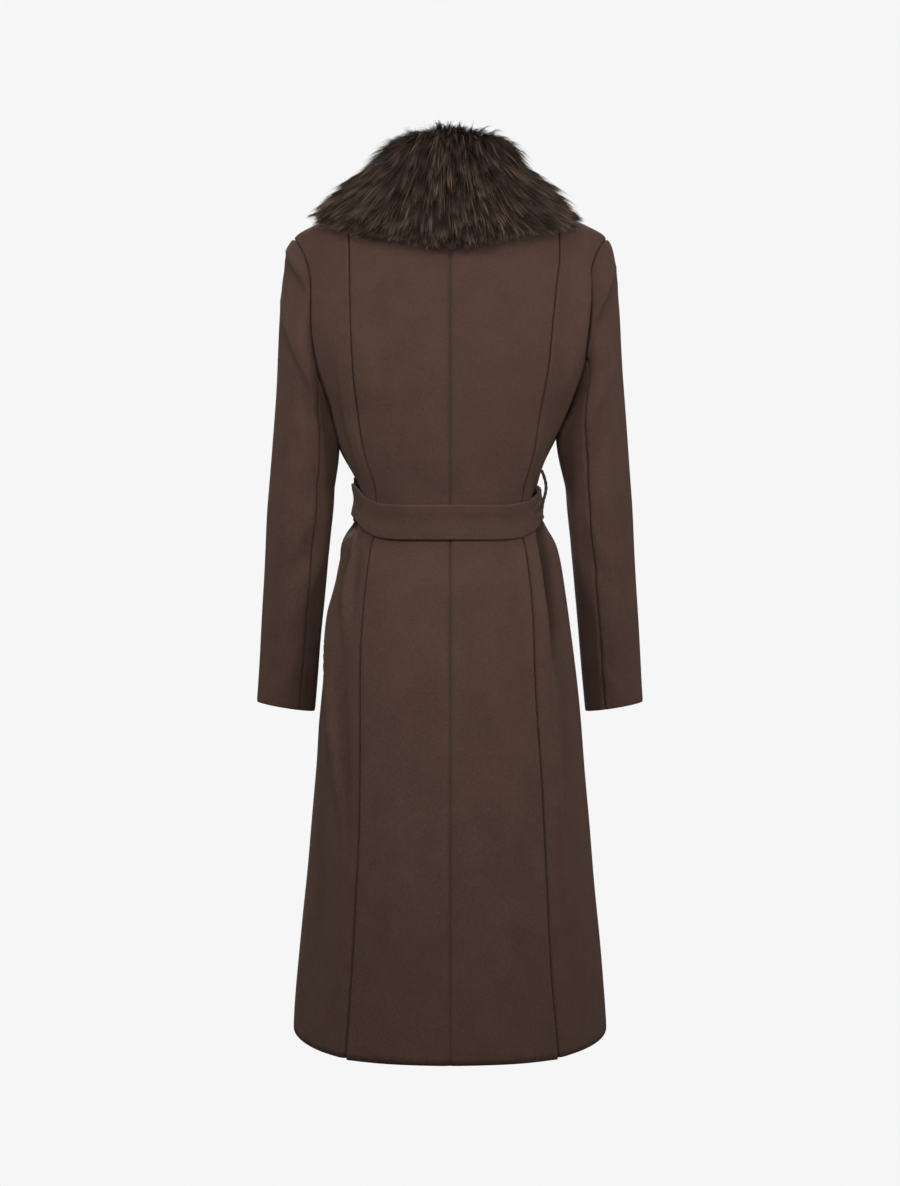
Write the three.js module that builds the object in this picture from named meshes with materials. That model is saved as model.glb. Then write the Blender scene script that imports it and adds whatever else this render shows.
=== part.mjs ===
// A belted, mid-calf wool coat with a fur shawl collar, filled out as worn.
// Millimetres, +Z up. The front faces -Y and the wearer's left is +X. The origin
// lies midway between the shoulder tips, at their height.
//
// The cloth is one continuous surface, cut into panels. A point of it is given by
// a turn around the body (0 degrees at the centre back, 90 at the wearer's left
// side, 180 at the centre front) and a height.

import * as THREE from "three";

// Driving dimensions
const WALL = 2.4; // felted wool cloth
const SEAM = 0.4; // gap that parts two panels at a seam
const SHOULDER_TIP = 207; // half of the shoulder width
const NECK_HALF = 75; // half of the neck opening's width
const NECK_HEIGHT = 59; // neck point above the shoulder tips
const ARMHOLE_DEPTH = 240;
const ARMHOLE_BACK = 67; // how far the armhole reaches behind its middle
const ARMHOLE_FRONT = 60;
const WAIST = -345; // height of the belt's middle at the sides and front
const WAIST_DIP = 34; // how much lower the belt hangs at the centre back
const BELT_HEIGHT = 46;
const BELT_THICK = 4.5; // a doubled strip of the same cloth
const CUFF_HEIGHT = -620.5;
const CUFF_SLANT = 6.5; // the cuff's outer edge is higher by this
const HEM_BACK = -1057;
const HEM_SIDE = -1044;
const HEM_FRONT = -1040;

const CLOTH = { color: 0x4b3730, roughness: 0.93, metalness: 0 };
const FUR = { color: 0x3a2d28, roughness: 0.85, metalness: 0 };
const CORD = { color: 0x2e2320, roughness: 0.8, metalness: 0 };

// Horizontal rings of the cloth: half width, depth behind and in front of the
// side line, and the power of the superellipse (2 is a plain ellipse).
const RINGS = [
  { z: NECK_HEIGHT, half: NECK_HALF, back: 68, front: 62, power: 2.0 },
  { z: 40, half: 122, back: 76, front: 66, power: 2.0 },
  { z: 19, half: 176, back: 84, front: 70, power: 2.05 },
  { z: 0, half: SHOULDER_TIP, back: 92, front: 76, power: 2.1 },
  { z: -50, half: 203, back: 103, front: 90, power: 2.4 },
  { z: -110, half: 202, back: 113, front: 106, power: 2.6 },
  { z: -170, half: 189, back: 118, front: 122, power: 2.6 },
  { z: -210, half: 170, back: 118, front: 128, power: 2.5 },
  { z: -240, half: 154, back: 114, front: 128, power: 2.4 },
  { z: -282, half: 139, back: 105, front: 120, power: 2.4 },
  { z: -320, half: 124, back: 95, front: 105, power: 2.4 },
  { z: -345, half: 119, back: 90, front: 98, power: 2.4 },
  { z: -372, half: 125, back: 92, front: 99, power: 2.4 },
  { z: -410, half: 142, back: 104, front: 108, power: 2.4 },
  { z: -458, half: 152, back: 116, front: 118, power: 2.4 },
  { z: -537, half: 163, back: 129, front: 128, power: 2.4 },
  { z: -638, half: 173, back: 141, front: 137, power: 2.35 },
  { z: -745, half: 182, back: 150, front: 145, power: 2.3 },
  { z: -851, half: 191, back: 158, front: 152, power: 2.25 },
  { z: -958, half: 201, back: 165, front: 158, power: 2.2 },
  { z: -1057, half: 208, back: 172, front: 165, power: 2.2 },
];

// The curved panel seam of the back, from shoulder to hem, on each side.
const PRINCESS = [
  { z: 36, left: 132, right: 138 },
  { z: -28, left: 130, right: 142 },
  { z: -81, left: 129, right: 136.5 },
  { z: -133, left: 127.5, right: 131 },
  { z: -184, left: 124.5, right: 126 },
  { z: -235, left: 118.5, right: 117 },
  { z: -285, left: 110, right: 106 },
  { z: -336, left: 96.5, right: 95 },
  { z: -379, left: 95.5, right: 91 },
  { z: -414, left: 104, right: 98 },
  { z: -504, left: 112.5, right: 105 },
  { z: -555, left: 114.5, right: 106.5 },
  { z: -655, left: 114.5, right: 112 },
  { z: -755, left: 115.5, right: 118 },
  { z: -855, left: 119, right: 123.5 },
  { z: -954, left: 124.5, right: 128.5 },
  { z: -1057, left: 132.5, right: 138 },
];

// The front edge: it runs from the neck point across the chest, and past the
// centre by this much (a negative reach stays on its own side).
const FRONT_EDGE = [
  { z: NECK_HEIGHT, reach: -NECK_HALF },
  { z: 40, reach: -70 },
  { z: 0, reach: -57 },
  { z: -60, reach: -42 },
  { z: -120, reach: -27 },
  { z: -215, reach: 0 },
  { z: -290, reach: 34 },
  { z: -345, reach: 58 },
  { z: -420, reach: 64 },
  { z: -1057, reach: 66 },
];

// Long soft folds. Each runs between two heights, with its place given as the
// distance from the centre line at its ends. A negative rise is a trough.
const FOLDS = [
  { side: 1, face: 1, top: -150, bottom: -300, topX: 134, bottomX: 112, width: 9, rise: 3.5 },
  { side: 1, face: 1, top: -392, bottom: -500, topX: 124, bottomX: 131, width: 9, rise: 3 },
  { side: 1, face: 1, top: -470, bottom: -790, topX: 146, bottomX: 137, width: 12, rise: 4.5 },
  { side: 1, face: 1, top: -560, bottom: -900, topX: 122, bottomX: 126, width: 9, rise: -3 },
  { side: -1, face: 1, top: -390, bottom: -640, topX: 112, bottomX: 122, width: 10, rise: 4 },
  { side: -1, face: 1, top: -430, bottom: -820, topX: 138, bottomX: 150, width: 12, rise: -3.5 },
  { side: -1, face: 1, top: -20, bottom: -300, topX: 168, bottomX: 132, width: 12, rise: 4.5 },
  { side: 1, face: -1, top: -395, bottom: -720, topX: 104, bottomX: 118, width: 14, rise: 4.5 },
  { side: -1, face: -1, top: -395, bottom: -660, topX: 92, bottomX: 112, width: 13, rise: 4.5 },
  { side: -1, face: -1, top: -160, bottom: -310, topX: 112, bottomX: 84, width: 12, rise: 4 },
];

// Sleeve rings below the armhole: the middle's distance from the centre line, its
// place front to back, and the half widths across and front to back.
const SLEEVE_RINGS = [
  { z: -266, middle: 193, forward: 1, across: 42.5, deep: 66 },
  { z: -346, middle: 198, forward: 0, across: 43.5, deep: 62 },
  { z: -410, middle: 203, forward: 3, across: 42, deep: 59 },
  { z: -473, middle: 208, forward: 7, across: 41, deep: 56 },
  { z: -537, middle: 213, forward: 12, across: 40, deep: 53 },
  { z: -601, middle: 218, forward: 18, across: 39.3, deep: 50 },
  { z: -640, middle: 221, forward: 20, across: 39, deep: 49 },
];
const SLEEVE_FRONT_SEAM = -125; // turn of the front sleeve seam, 0 is the outside
const ELBOW_SEAM_LEFT = 124; // turn of the back sleeve seam
const ELBOW_SEAM_RIGHT = 113;

// Sections of the fur collar, from the centre back to the end on the chest. The
// neck and edge columns place its two borders on the coat. Rise and lean place
// the crest above the neck seam, and the rest shapes the outer face.
const COLLAR = [
  {
    neckTurn: 0, neckZ: 58, edgeTurn: 0, edgeZ: -33, rise: 75, lean: 15,
    crestOut: 37, crestDrop: 7, edgeOut: 37, edgeRise: 8, lip: 14,
  },
  {
    neckTurn: 42, neckZ: 58, edgeTurn: 29, edgeZ: -14, rise: 69, lean: 13,
    crestOut: 24, crestDrop: 11, edgeOut: 28, edgeRise: 8, lip: 13,
  },
  {
    neckTurn: 90, neckZ: 58, edgeTurn: 90, edgeZ: 25, rise: 54, lean: 9,
    crestOut: -5, crestDrop: 16, edgeOut: 1, edgeRise: 4, lip: 7,
  },
  {
    neckTurn: 138, neckZ: 46, edgeTurn: 128, edgeZ: -12, rise: 40, lean: 16,
    crestOut: 14, crestDrop: 6, edgeOut: 20, edgeRise: 16, lip: 10,
  },
  {
    neckTurn: 163, neckZ: 8, edgeTurn: 141, edgeZ: -52, rise: 24, lean: 24,
    crestOut: 12, crestDrop: 6, edgeOut: 20, edgeRise: 12, lip: 12,
  },
  {
    neckTurn: 170.5, neckZ: -52, edgeTurn: 151, edgeZ: -112, rise: 10, lean: 28,
    crestOut: 9, crestDrop: 6, edgeOut: 20, edgeRise: 8, lip: 12,
  },
  {
    neckTurn: 175.5, neckZ: -120, edgeTurn: 163, edgeZ: -176, rise: 6, lean: 26,
    crestOut: 7, crestDrop: 6, edgeOut: 18, edgeRise: 6, lip: 11,
  },
  {
    neckTurn: 179.3, neckZ: -196, edgeTurn: 175, edgeZ: -228, rise: 3, lean: 17,
    crestOut: 4, crestDrop: 5, edgeOut: 12, edgeRise: 4, lip: 8,
  },
];

// Mathematical helpers
const radians = THREE.MathUtils.degToRad;
const lerp = THREE.MathUtils.lerp;
const smooth = (from, to, value) => {
  const t = THREE.MathUtils.clamp((value - from) / (to - from), 0, 1);
  return t * t * (3 - 2 * t);
};
const signedPower = (value, power) => Math.sign(value) * Math.abs(value) ** power;
const range = (count) => Array.from({ length: count + 1 }, (_, i) => i / count);

// A smooth curve through one column of a table that is sorted by height, downwards.
// Its slopes are limited so that it never swings past the rows.
function readColumn(table, column, z) {
  const last = table.length - 1;
  let i = 0;
  while (i < last - 1 && z < table[i + 1].z) i += 1;
  const slope = (k) => (table[k + 1][column] - table[k][column]) / (table[k + 1].z - table[k].z);
  const tangent = (k) => {
    if (k === 0) return slope(0);
    if (k === last) return slope(last - 1);
    const before = slope(k - 1);
    const after = slope(k);
    return before * after <= 0 ? 0 : (2 * before * after) / (before + after);
  };
  const span = table[i + 1].z - table[i].z;
  const t = THREE.MathUtils.clamp((z - table[i].z) / span, 0, 1);
  const startPull = (tangent(i) * span) * (t ** 3 - 2 * t ** 2 + t);
  const endPull = (tangent(i + 1) * span) * (t ** 3 - t ** 2);
  const blend = 3 * t ** 2 - 2 * t ** 3;
  return lerp(table[i][column], table[i + 1][column], blend) + startPull + endPull;
}

// The same for the collar's rows, which are evenly spaced along the collar.
function readCollar(column, place) {
  const rows = COLLAR.length - 1;
  const i = Math.min(Math.floor(place * rows), rows - 1);
  const t = place * rows - i;
  const at = (k) => COLLAR[THREE.MathUtils.clamp(k, 0, rows)][column];
  const before = (at(i + 1) - at(i - 1)) / 2;
  const after = (at(i + 2) - at(i)) / 2;
  const blend = 3 * t ** 2 - 2 * t ** 3;
  return lerp(at(i), at(i + 1), blend) + before * (t ** 3 - 2 * t ** 2 + t) + after * (t ** 3 - t ** 2);
}

// The body's cloth surface

// How strongly a height follows the dip of the waist at the back.
const waistWeight = (z) => (z > WAIST ? smooth(-215, WAIST + 25, z) : smooth(-560, WAIST - 30, z));

function foldRise(x, y, z) {
  let rise = 0;
  for (const fold of FOLDS) {
    const t = (z - fold.top) / (fold.bottom - fold.top);
    if (t <= 0 || t >= 1 || y * fold.face < 0) continue;
    const across = fold.side * x - lerp(fold.topX, fold.bottomX, t);
    rise += fold.rise * Math.sin(Math.PI * t) ** 1.5 * Math.exp(-((across / fold.width) ** 2));
  }
  return rise;
}

function smoothBodyPoint(turn, z) {
  const sin = Math.sin(turn);
  const cos = Math.cos(turn);
  const power = 2 / readColumn(RINGS, "power", z);
  const depth = readColumn(RINGS, cos > 0 ? "back" : "front", z);
  const x = readColumn(RINGS, "half", z) * signedPower(sin, power);
  const y = depth * signedPower(cos, power);
  const dip = cos > 0 ? WAIST_DIP * waistWeight(z) * (1 - sin ** 6) : 0;
  return new THREE.Vector3(x, y, z - dip);
}

function bodyNormal(turn, z) {
  const step = radians(0.6);
  const rise = 1.5;
  const top = Math.min(z + rise, NECK_HEIGHT);
  const around = smoothBodyPoint(turn + step, z).sub(smoothBodyPoint(turn - step, z));
  const along = smoothBodyPoint(turn, top).sub(smoothBodyPoint(turn, top - 2 * rise));
  return along.cross(around).normalize();
}

// A point of the body's surface, moved out from the cloth's outer face by lift.
function bodyPoint(turn, z, lift = 0) {
  const point = smoothBodyPoint(turn, z);
  const rise = foldRise(point.x, point.y, point.z);
  return point.addScaledVector(bodyNormal(turn, z), lift + rise);
}

// The turn at which a ring reaches a distance x from the centre line, behind or
// in front.
function turnAt(x, z, face) {
  const ratio = THREE.MathUtils.clamp(x / readColumn(RINGS, "half", z), -1, 1);
  const fromMiddle = Math.asin(signedPower(ratio, readColumn(RINGS, "power", z) / 2));
  return face === "back" ? fromMiddle : Math.PI - fromMiddle;
}

// The turn at which a ring reaches a depth y, on the wearer's left.
function turnAtDepth(y, z) {
  const depth = readColumn(RINGS, y > 0 ? "back" : "front", z);
  const ratio = THREE.MathUtils.clamp(y / depth, -1, 1);
  return Math.acos(signedPower(ratio, readColumn(RINGS, "power", z) / 2));
}

// The armhole is an ellipse in the side view. Its angle is 0 at the shoulder tip,
// 90 at the back and 180 under the arm.
function armhole(angle) {
  const z = -ARMHOLE_DEPTH / 2 + (ARMHOLE_DEPTH / 2) * Math.cos(angle);
  const reach = Math.sin(angle) > 0 ? ARMHOLE_BACK : ARMHOLE_FRONT;
  return { turn: turnAtDepth(reach * Math.sin(angle), z), z };
}

// Solids

function solid(positions, triangles) {
  const geometry = new THREE.BufferGeometry();
  geometry.setAttribute("position", new THREE.Float32BufferAttribute(positions, 3));
  const corner = (i) => new THREE.Vector3().fromArray(positions, 3 * i);
  let volume = 0;
  for (let i = 0; i < triangles.length; i += 3) {
    volume += corner(triangles[i]).dot(corner(triangles[i + 1]).cross(corner(triangles[i + 2])));
  }
  geometry.setIndex(volume < 0 ? [...triangles].reverse() : triangles);
  geometry.computeVertexNormals();
  return geometry;
}

// A wall between an outer and an inner grid of points, closed by a rim.
function wallSolid(outer, inner) {
  const rows = outer.length;
  const columns = outer[0].length;
  const positions = [...outer.flat(), ...inner.flat()].flatMap((p) => p.toArray());
  const at = (layer, i, j) => layer * rows * columns + i * columns + j;
  const triangles = [];
  const quad = (a, b, c, d) => triangles.push(a, b, c, a, c, d);
  for (let i = 0; i < rows - 1; i += 1) {
    for (let j = 0; j < columns - 1; j += 1) {
      quad(at(0, i, j), at(0, i, j + 1), at(0, i + 1, j + 1), at(0, i + 1, j));
      quad(at(1, i, j), at(1, i + 1, j), at(1, i + 1, j + 1), at(1, i, j + 1));
    }
  }
  const rim = [];
  for (let j = 0; j < columns - 1; j += 1) rim.push([0, j]);
  for (let i = 0; i < rows - 1; i += 1) rim.push([i, columns - 1]);
  for (let j = columns - 1; j > 0; j -= 1) rim.push([rows - 1, j]);
  for (let i = rows - 1; i > 0; i -= 1) rim.push([i, 0]);
  rim.forEach(([i, j], k) => {
    const [nextI, nextJ] = rim[(k + 1) % rim.length];
    const [a, b, c, d] = [at(0, nextI, nextJ), at(0, i, j), at(1, i, j), at(1, nextI, nextJ)];
    // Both panels at a seam split their rims along the same diagonal.
    if (nextI < i) quad(b, c, d, a);
    else quad(a, b, c, d);
  });
  return solid(positions, triangles);
}

// A solid through closed sections with equal numbers of points. A loop joins the
// last section to the first, and otherwise both ends are closed by fans.
function sweptSolid(sections, loop = false) {
  const count = sections[0].length;
  const points = sections.flat();
  const triangles = [];
  const last = loop ? sections.length : sections.length - 1;
  for (let i = 0; i < last; i += 1) {
    const here = i * count;
    const next = ((i + 1) % sections.length) * count;
    for (let j = 0; j < count; j += 1) {
      const k = (j + 1) % count;
      triangles.push(here + j, here + k, next + k, here + j, next + k, next + j);
    }
  }
  const fan = (start, flip) => {
    const middle = new THREE.Vector3();
    for (let j = 0; j < count; j += 1) middle.addScaledVector(points[start + j], 1 / count);
    const hub = points.push(middle) - 1;
    for (let j = 0; j < count; j += 1) {
      const k = start + ((j + 1) % count);
      triangles.push(hub, ...(flip ? [start + j, k] : [k, start + j]));
    }
  };
  if (!loop) {
    fan(0, false);
    fan((sections.length - 1) * count, true);
  }
  return solid(points.flatMap((p) => p.toArray()), triangles);
}

const group = new THREE.Group();
function add(name, geometry, finish) {
  const mesh = new THREE.Mesh(geometry, new THREE.MeshStandardMaterial(finish));
  mesh.name = name;
  group.add(mesh);
}

// Body panels

const YOKE = -60; // below this height a panel's rows are level
const HEM_ZONE = -985; // below this height they turn to follow the hem
const ARM_STEPS = 12;
const YOKE_STEPS = 4; // armhole steps above the yoke height
const SKIRT_ROWS = [
  -262, -285, -305, -325, -345, -365, -385, -408, -435,
  -470, -515, -570, -635, -710, -790, -870, -935, -985,
];

function hemHeight(turn) {
  const cos = Math.cos(turn);
  return cos > 0
    ? lerp(HEM_SIDE, HEM_BACK, Math.min(1, 1.35 * cos ** 1.2))
    : lerp(HEM_SIDE, HEM_FRONT, cos ** 2);
}

// The heights of the level rows, from the hem zone up to the yoke height.
const armRows = range(ARM_STEPS)
  .map((t) => -ARMHOLE_DEPTH / 2 - (ARMHOLE_DEPTH / 2) * Math.cos(Math.PI * t))
  .slice(0, ARM_STEPS - YOKE_STEPS + 1);
const levelRows = [...[...SKIRT_ROWS].reverse(), ...armRows];
const HEM_STEPS = 2;

// A panel between two borders. Each border gives the turn at a level row, and a
// path of {turn, z} through the yoke. The top path closes the yoke.
function panelChart(columns, borderA, borderB, topPath) {
  const chart = [];
  const levelRow = (z) => columns.map((u) => ({ turn: lerp(borderA.turn(z), borderB.turn(z), u), z }));
  for (let step = 0; step < HEM_STEPS; step += 1) {
    chart.push(levelRow(HEM_ZONE).map(({ turn }, j) => {
      const z = lerp(hemHeight(turn), HEM_ZONE, step / HEM_STEPS);
      return { turn: lerp(borderA.turn(z), borderB.turn(z), columns[j]), z };
    }));
  }
  for (const z of levelRows) chart.push(levelRow(z));
  const bottom = levelRow(YOKE);
  const last = columns.length - 1;
  // How far a border has moved towards the shoulder seam, in turn or in height.
  const share = (border, key, t) => {
    const from = border.yoke(0)[key];
    const to = border.yoke(1)[key];
    return Math.abs(to - from) < 0.02 ? null : (border.yoke(t)[key] - from) / (to - from);
  };
  for (let step = 1; step <= YOKE_STEPS; step += 1) {
    const t = step / YOKE_STEPS;
    const patch = (key, u, j) => {
      const shareB = share(borderB, key, t);
      const shareA = share(borderA, key, t) ?? shareB;
      const moved = lerp(shareA, shareB, u);
      const offA = borderA.yoke(t)[key] - lerp(bottom[0][key], topPath(0)[key], moved);
      const offB = borderB.yoke(t)[key] - lerp(bottom[last][key], topPath(1)[key], moved);
      return lerp(bottom[j][key], topPath(u)[key], moved) + lerp(offA, offB, u);
    };
    chart.push(columns.map((u, j) => ({ turn: patch("turn", u, j), z: patch("z", u, j) })));
  }
  return chart;
}

// Borders. Above the yoke height a border closes in on the shoulder seam, and the
// sine spacing keeps its steps even there.
const seamShift = (x, z, face) => turnAt(x, Math.min(z, NECK_HEIGHT), face);
const yokeHeight = (top, t) => lerp(YOKE, top, Math.sin((t * Math.PI) / 2));

const PRINCESS_TOP = { left: 36, right: 33.5 }; // where the seam meets the shoulder seam
function princessBorder(sideName, shift) {
  const turn = (z) => {
    const followed = z - 0.8 * WAIST_DIP * waistWeight(z);
    const parted = shift * lerp(1, 2, smooth(YOKE, 0, z)); // wider where the cloth bends in
    return seamShift(readColumn(PRINCESS, sideName, followed) + parted, z, "back");
  };
  const top = PRINCESS_TOP[sideName] - 1.2 * shift;
  const yoke = (t) => {
    const z = yokeHeight(top, t);
    return { turn: t === 1 ? Math.PI / 2 : turn(z), z };
  };
  return { turn, yoke };
}

const centreBorder = {
  turn: (z) => turnAt(SEAM / 2, z, "back"),
  yoke: (t) => {
    const z = lerp(YOKE, NECK_HEIGHT, t);
    return { turn: turnAt(SEAM / 2, z, "back"), z };
  },
};

function sideBorder(face) {
  const sign = face === "back" ? 1 : -1;
  const reach = face === "back" ? ARMHOLE_BACK : ARMHOLE_FRONT;
  const turn = (z) => {
    const cos = THREE.MathUtils.clamp((z + ARMHOLE_DEPTH / 2) / (ARMHOLE_DEPTH / 2), -1, 1);
    const y = Math.max(z < -ARMHOLE_DEPTH ? 0 : reach * Math.sqrt(1 - cos ** 2), SEAM / 2);
    return turnAtDepth(sign * y, z);
  };
  const yoke = (t) => {
    const { z } = armhole((1 - t) * Math.PI * (YOKE_STEPS / ARM_STEPS));
    return { turn: turn(z), z };
  };
  return { turn, yoke };
}

const frontEdge = {
  turn: (z) => turnAt(-readColumn(FRONT_EDGE, "reach", z), z, "front"),
  yoke: (t) => {
    const z = yokeHeight(NECK_HEIGHT, t);
    return { turn: t === 1 ? Math.PI / 2 : turnAt(-readColumn(FRONT_EDGE, "reach", z), z, "front"), z };
  },
};

// The under front lies inside the over front, from a step beside the overlap.
function underStep(point) {
  const beside = 1 - smooth(82, 118, point.x);
  const below = 1 - smooth(-205, -140, point.z);
  return -(WALL + 1.3) * beside * below;
}

function addPanel(name, chart, mirror, under = false) {
  const place = (lift) => chart.map((row) => row.map(({ turn, z }) => {
    const point = smoothBodyPoint(turn, z);
    const side = Math.cos(turn) < 0 ? -1 : 1;
    const sign = mirror ? -1 : 1;
    const rise = foldRise(sign * point.x, point.y, point.z) + (under ? underStep(point) : 0);
    point.addScaledVector(bodyNormal(turn, z), rise - lift);
    if (Math.abs(point.y) < 1.5) point.y = side * Math.max(Math.abs(point.y), SEAM / 2);
    if (mirror) point.x = -point.x;
    return point;
  }));
  add(name, wallSolid(place(0), place(WALL)), CLOTH);
}

const NECK_COLUMNS = 5;
const SHOULDER_COLUMNS = 4;
const backColumns = range(NECK_COLUMNS + SHOULDER_COLUMNS);
const sideBackColumns = range(6);
const frontColumns = range(11);

for (const [sideName, mirror] of [["left", false], ["right", true]]) {
  const innerSeam = princessBorder(sideName, -SEAM / 2);
  const neckShare = NECK_COLUMNS / (NECK_COLUMNS + SHOULDER_COLUMNS);
  const centre = turnAt(SEAM / 2, NECK_HEIGHT, "back");
  const backTop = (u) => (u <= neckShare
    ? { turn: lerp(centre, Math.PI / 2, u / neckShare), z: NECK_HEIGHT }
    : {
      turn: Math.PI / 2,
      z: lerp(NECK_HEIGHT, innerSeam.yoke(1).z, (u - neckShare) / (1 - neckShare)),
    });
  addPanel(`back_${sideName}`, panelChart(backColumns, centreBorder, innerSeam, backTop), mirror);

  const outerSeam = princessBorder(sideName, SEAM / 2);
  const sideTop = (u) => ({ turn: Math.PI / 2, z: lerp(outerSeam.yoke(1).z, 0, u) });
  const sideChart = panelChart(sideBackColumns, outerSeam, sideBorder("back"), sideTop);
  addPanel(`side_back_${sideName}`, sideChart, mirror);

  const frontTop = (u) => ({ turn: Math.PI / 2, z: lerp(0, NECK_HEIGHT, u) });
  const frontChart = panelChart(frontColumns, sideBorder("front"), frontEdge, frontTop);
  addPanel(`front_${sideName}`, frontChart, mirror, sideName === "left");
}

// Sleeves

// The sleeve's outer face. The angle is 0 on the outside, 90 at the back and 180
// against the body. Over the cap a Bezier curve leads from the armhole to the
// first ring, and below it the rings follow the sleeve's table.
const CAP_ROWS = 7;
const ARM_ROWS = 11;
const CAP_END = SLEEVE_RINGS[0].z;

function sleeveRing(angle, z) {
  const middle = readColumn(SLEEVE_RINGS, "middle", z);
  const forward = readColumn(SLEEVE_RINGS, "forward", z);
  const across = readColumn(SLEEVE_RINGS, "across", z);
  const deep = readColumn(SLEEVE_RINGS, "deep", z);
  return new THREE.Vector3(middle + across * Math.cos(angle), deep * Math.sin(angle) - forward, z);
}

function sleevePoint(angle, along) {
  const capShare = CAP_ROWS / (CAP_ROWS + ARM_ROWS);
  const cos = Math.cos(angle);
  const outside = (1 + cos) / 2; // 1 on the outside, 0 under the arm
  if (along > capShare) {
    const cuff = CUFF_HEIGHT + CUFF_SLANT * cos;
    return sleeveRing(angle, lerp(CAP_END, cuff, (along - capShare) / (1 - capShare)));
  }
  const edge = armhole(angle);
  const start = smoothBodyPoint(edge.turn, edge.z);
  start.x += lerp(1.6, 1.5 * SEAM, outside);
  start.z += lerp(1.4, 0, outside);
  const end = sleeveRing(angle, CAP_END);
  const upward = sleeveRing(angle, CAP_END).sub(sleeveRing(angle, CAP_END - 20)).normalize();
  const leave = start.clone();
  leave.x += lerp(5, 19, outside);
  leave.y += 7 * Math.sin(angle);
  leave.z -= 14 * Math.abs(Math.sin(angle)) * outside + 1;
  const reach = lerp(8, 132, outside ** 1.15);
  const arrive = end.clone().addScaledVector(upward, reach);
  return new THREE.CubicBezierCurve3(start, leave, arrive, end).getPoint(along / capShare);
}

function sleeveNormal(angle, along) {
  const around = sleevePoint(angle + 0.01, along).sub(sleevePoint(angle - 0.01, along));
  const from = Math.max(along - 0.004, 0);
  const down = sleevePoint(angle, from + 0.008).sub(sleevePoint(angle, from));
  return down.cross(around).normalize();
}

function addSleevePiece(name, fromTurn, toTurn, columns, mirror) {
  const middle = radians((fromTurn + toTurn) / 2);
  const place = (depth) => range(CAP_ROWS + ARM_ROWS).map((along) => range(columns).map((u) => {
    const ring = sleevePoint(middle, along).distanceTo(sleevePoint(middle + Math.PI, along)) / 2;
    const trim = SEAM / 2 / Math.max(ring, 40);
    const angle = lerp(radians(fromTurn) + trim, radians(toTurn) - trim, u);
    const point = sleevePoint(angle, along).addScaledVector(sleeveNormal(angle, along), -depth);
    if (mirror) point.x = -point.x;
    return point;
  }));
  add(name, wallSolid(place(0), place(WALL)), CLOTH);
}

const SLEEVES = [
  ["left", false, ELBOW_SEAM_LEFT],
  ["right", true, ELBOW_SEAM_RIGHT],
];
for (const [sideName, mirror, elbow] of SLEEVES) {
  addSleevePiece(`top_sleeve_${sideName}`, SLEEVE_FRONT_SEAM, elbow, 11, mirror);
  addSleevePiece(`under_sleeve_${sideName}`, elbow, SLEEVE_FRONT_SEAM + 360, 7, mirror);
}

// Fur collar

const COLLAR_STATIONS = 52;
const NECK_LIFT = 0.8; // the collar's underside off the cloth, at the neck seam
const EDGE_LIFT = 2.2; // and at its outer edge
const FACE_STEPS = 7;

function collarSection(signedPlace) {
  const place = Math.abs(signedPlace);
  const side = Math.sign(signedPlace) || 1;
  const read = (column) => readCollar(column, place);
  const neckTurn = radians(read("neckTurn"));
  const edgeTurn = radians(read("edgeTurn"));
  const neck = bodyPoint(neckTurn, read("neckZ"), NECK_LIFT);
  const out = bodyNormal(neckTurn, read("neckZ")).setZ(0).normalize();
  const edgeNormal = bodyNormal(edgeTurn, read("edgeZ"));
  const edge = bodyPoint(edgeTurn, read("edgeZ"), EDGE_LIFT + read("lip"));
  const crest = neck.clone().addScaledVector(out, read("lean"));
  crest.z += read("rise");
  const leave = crest.clone().addScaledVector(out, read("crestOut"));
  leave.z -= read("crestDrop");
  const arrive = edge.clone().addScaledVector(edgeNormal, read("edgeOut"));
  arrive.z += read("edgeRise");
  const face = new THREE.CubicBezierCurve3(crest, leave, arrive, edge).getPoints(FACE_STEPS);
  const inside = [0.5, 0.9].map((t) => neck.clone().lerp(crest, t).addScaledVector(out, -6 * t * t));
  const underside = [0.02, 0.25, 0.5, 0.75].map((t) => bodyPoint(
    lerp(edgeTurn, neckTurn, t), lerp(read("edgeZ"), read("neckZ"), t),
    lerp(EDGE_LIFT, NECK_LIFT, t) + 4.6 * Math.sin(Math.PI * t)));
  const loop = [neck, ...inside, ...face, ...underside];
  for (const point of loop) point.x = side * Math.max(point.x, place === 0 ? 0 : 0.7);
  return loop;
}

const collarPlaces = range(COLLAR_STATIONS).map((t) => 2 * t - 1);
add("fur_collar", sweptSolid(collarPlaces.map(collarSection)), FUR);

// Belt, knot and tails

const BELT_LIFT = 1.0;
const BELT_STATIONS = 60;
const beltSection = (turn) => {
  const half = BELT_HEIGHT / 2;
  const heights = [-half, -half / 2, 0, half / 2, half];
  const outer = heights.map((h, i) => {
    const edge = i === 0 || i === heights.length - 1;
    const lift = BELT_LIFT + BELT_THICK - (edge ? 1.2 : 0);
    return bodyPoint(turn, WAIST + h, lift);
  });
  const inner = heights.map((h) => bodyPoint(turn, WAIST + h, BELT_LIFT)).reverse();
  return [...outer, ...inner];
};
const beltTurns = range(BELT_STATIONS).slice(0, -1).map((t) => 2 * Math.PI * t);
add("belt", sweptSolid(beltTurns.map(beltSection), true), CLOTH);

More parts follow.
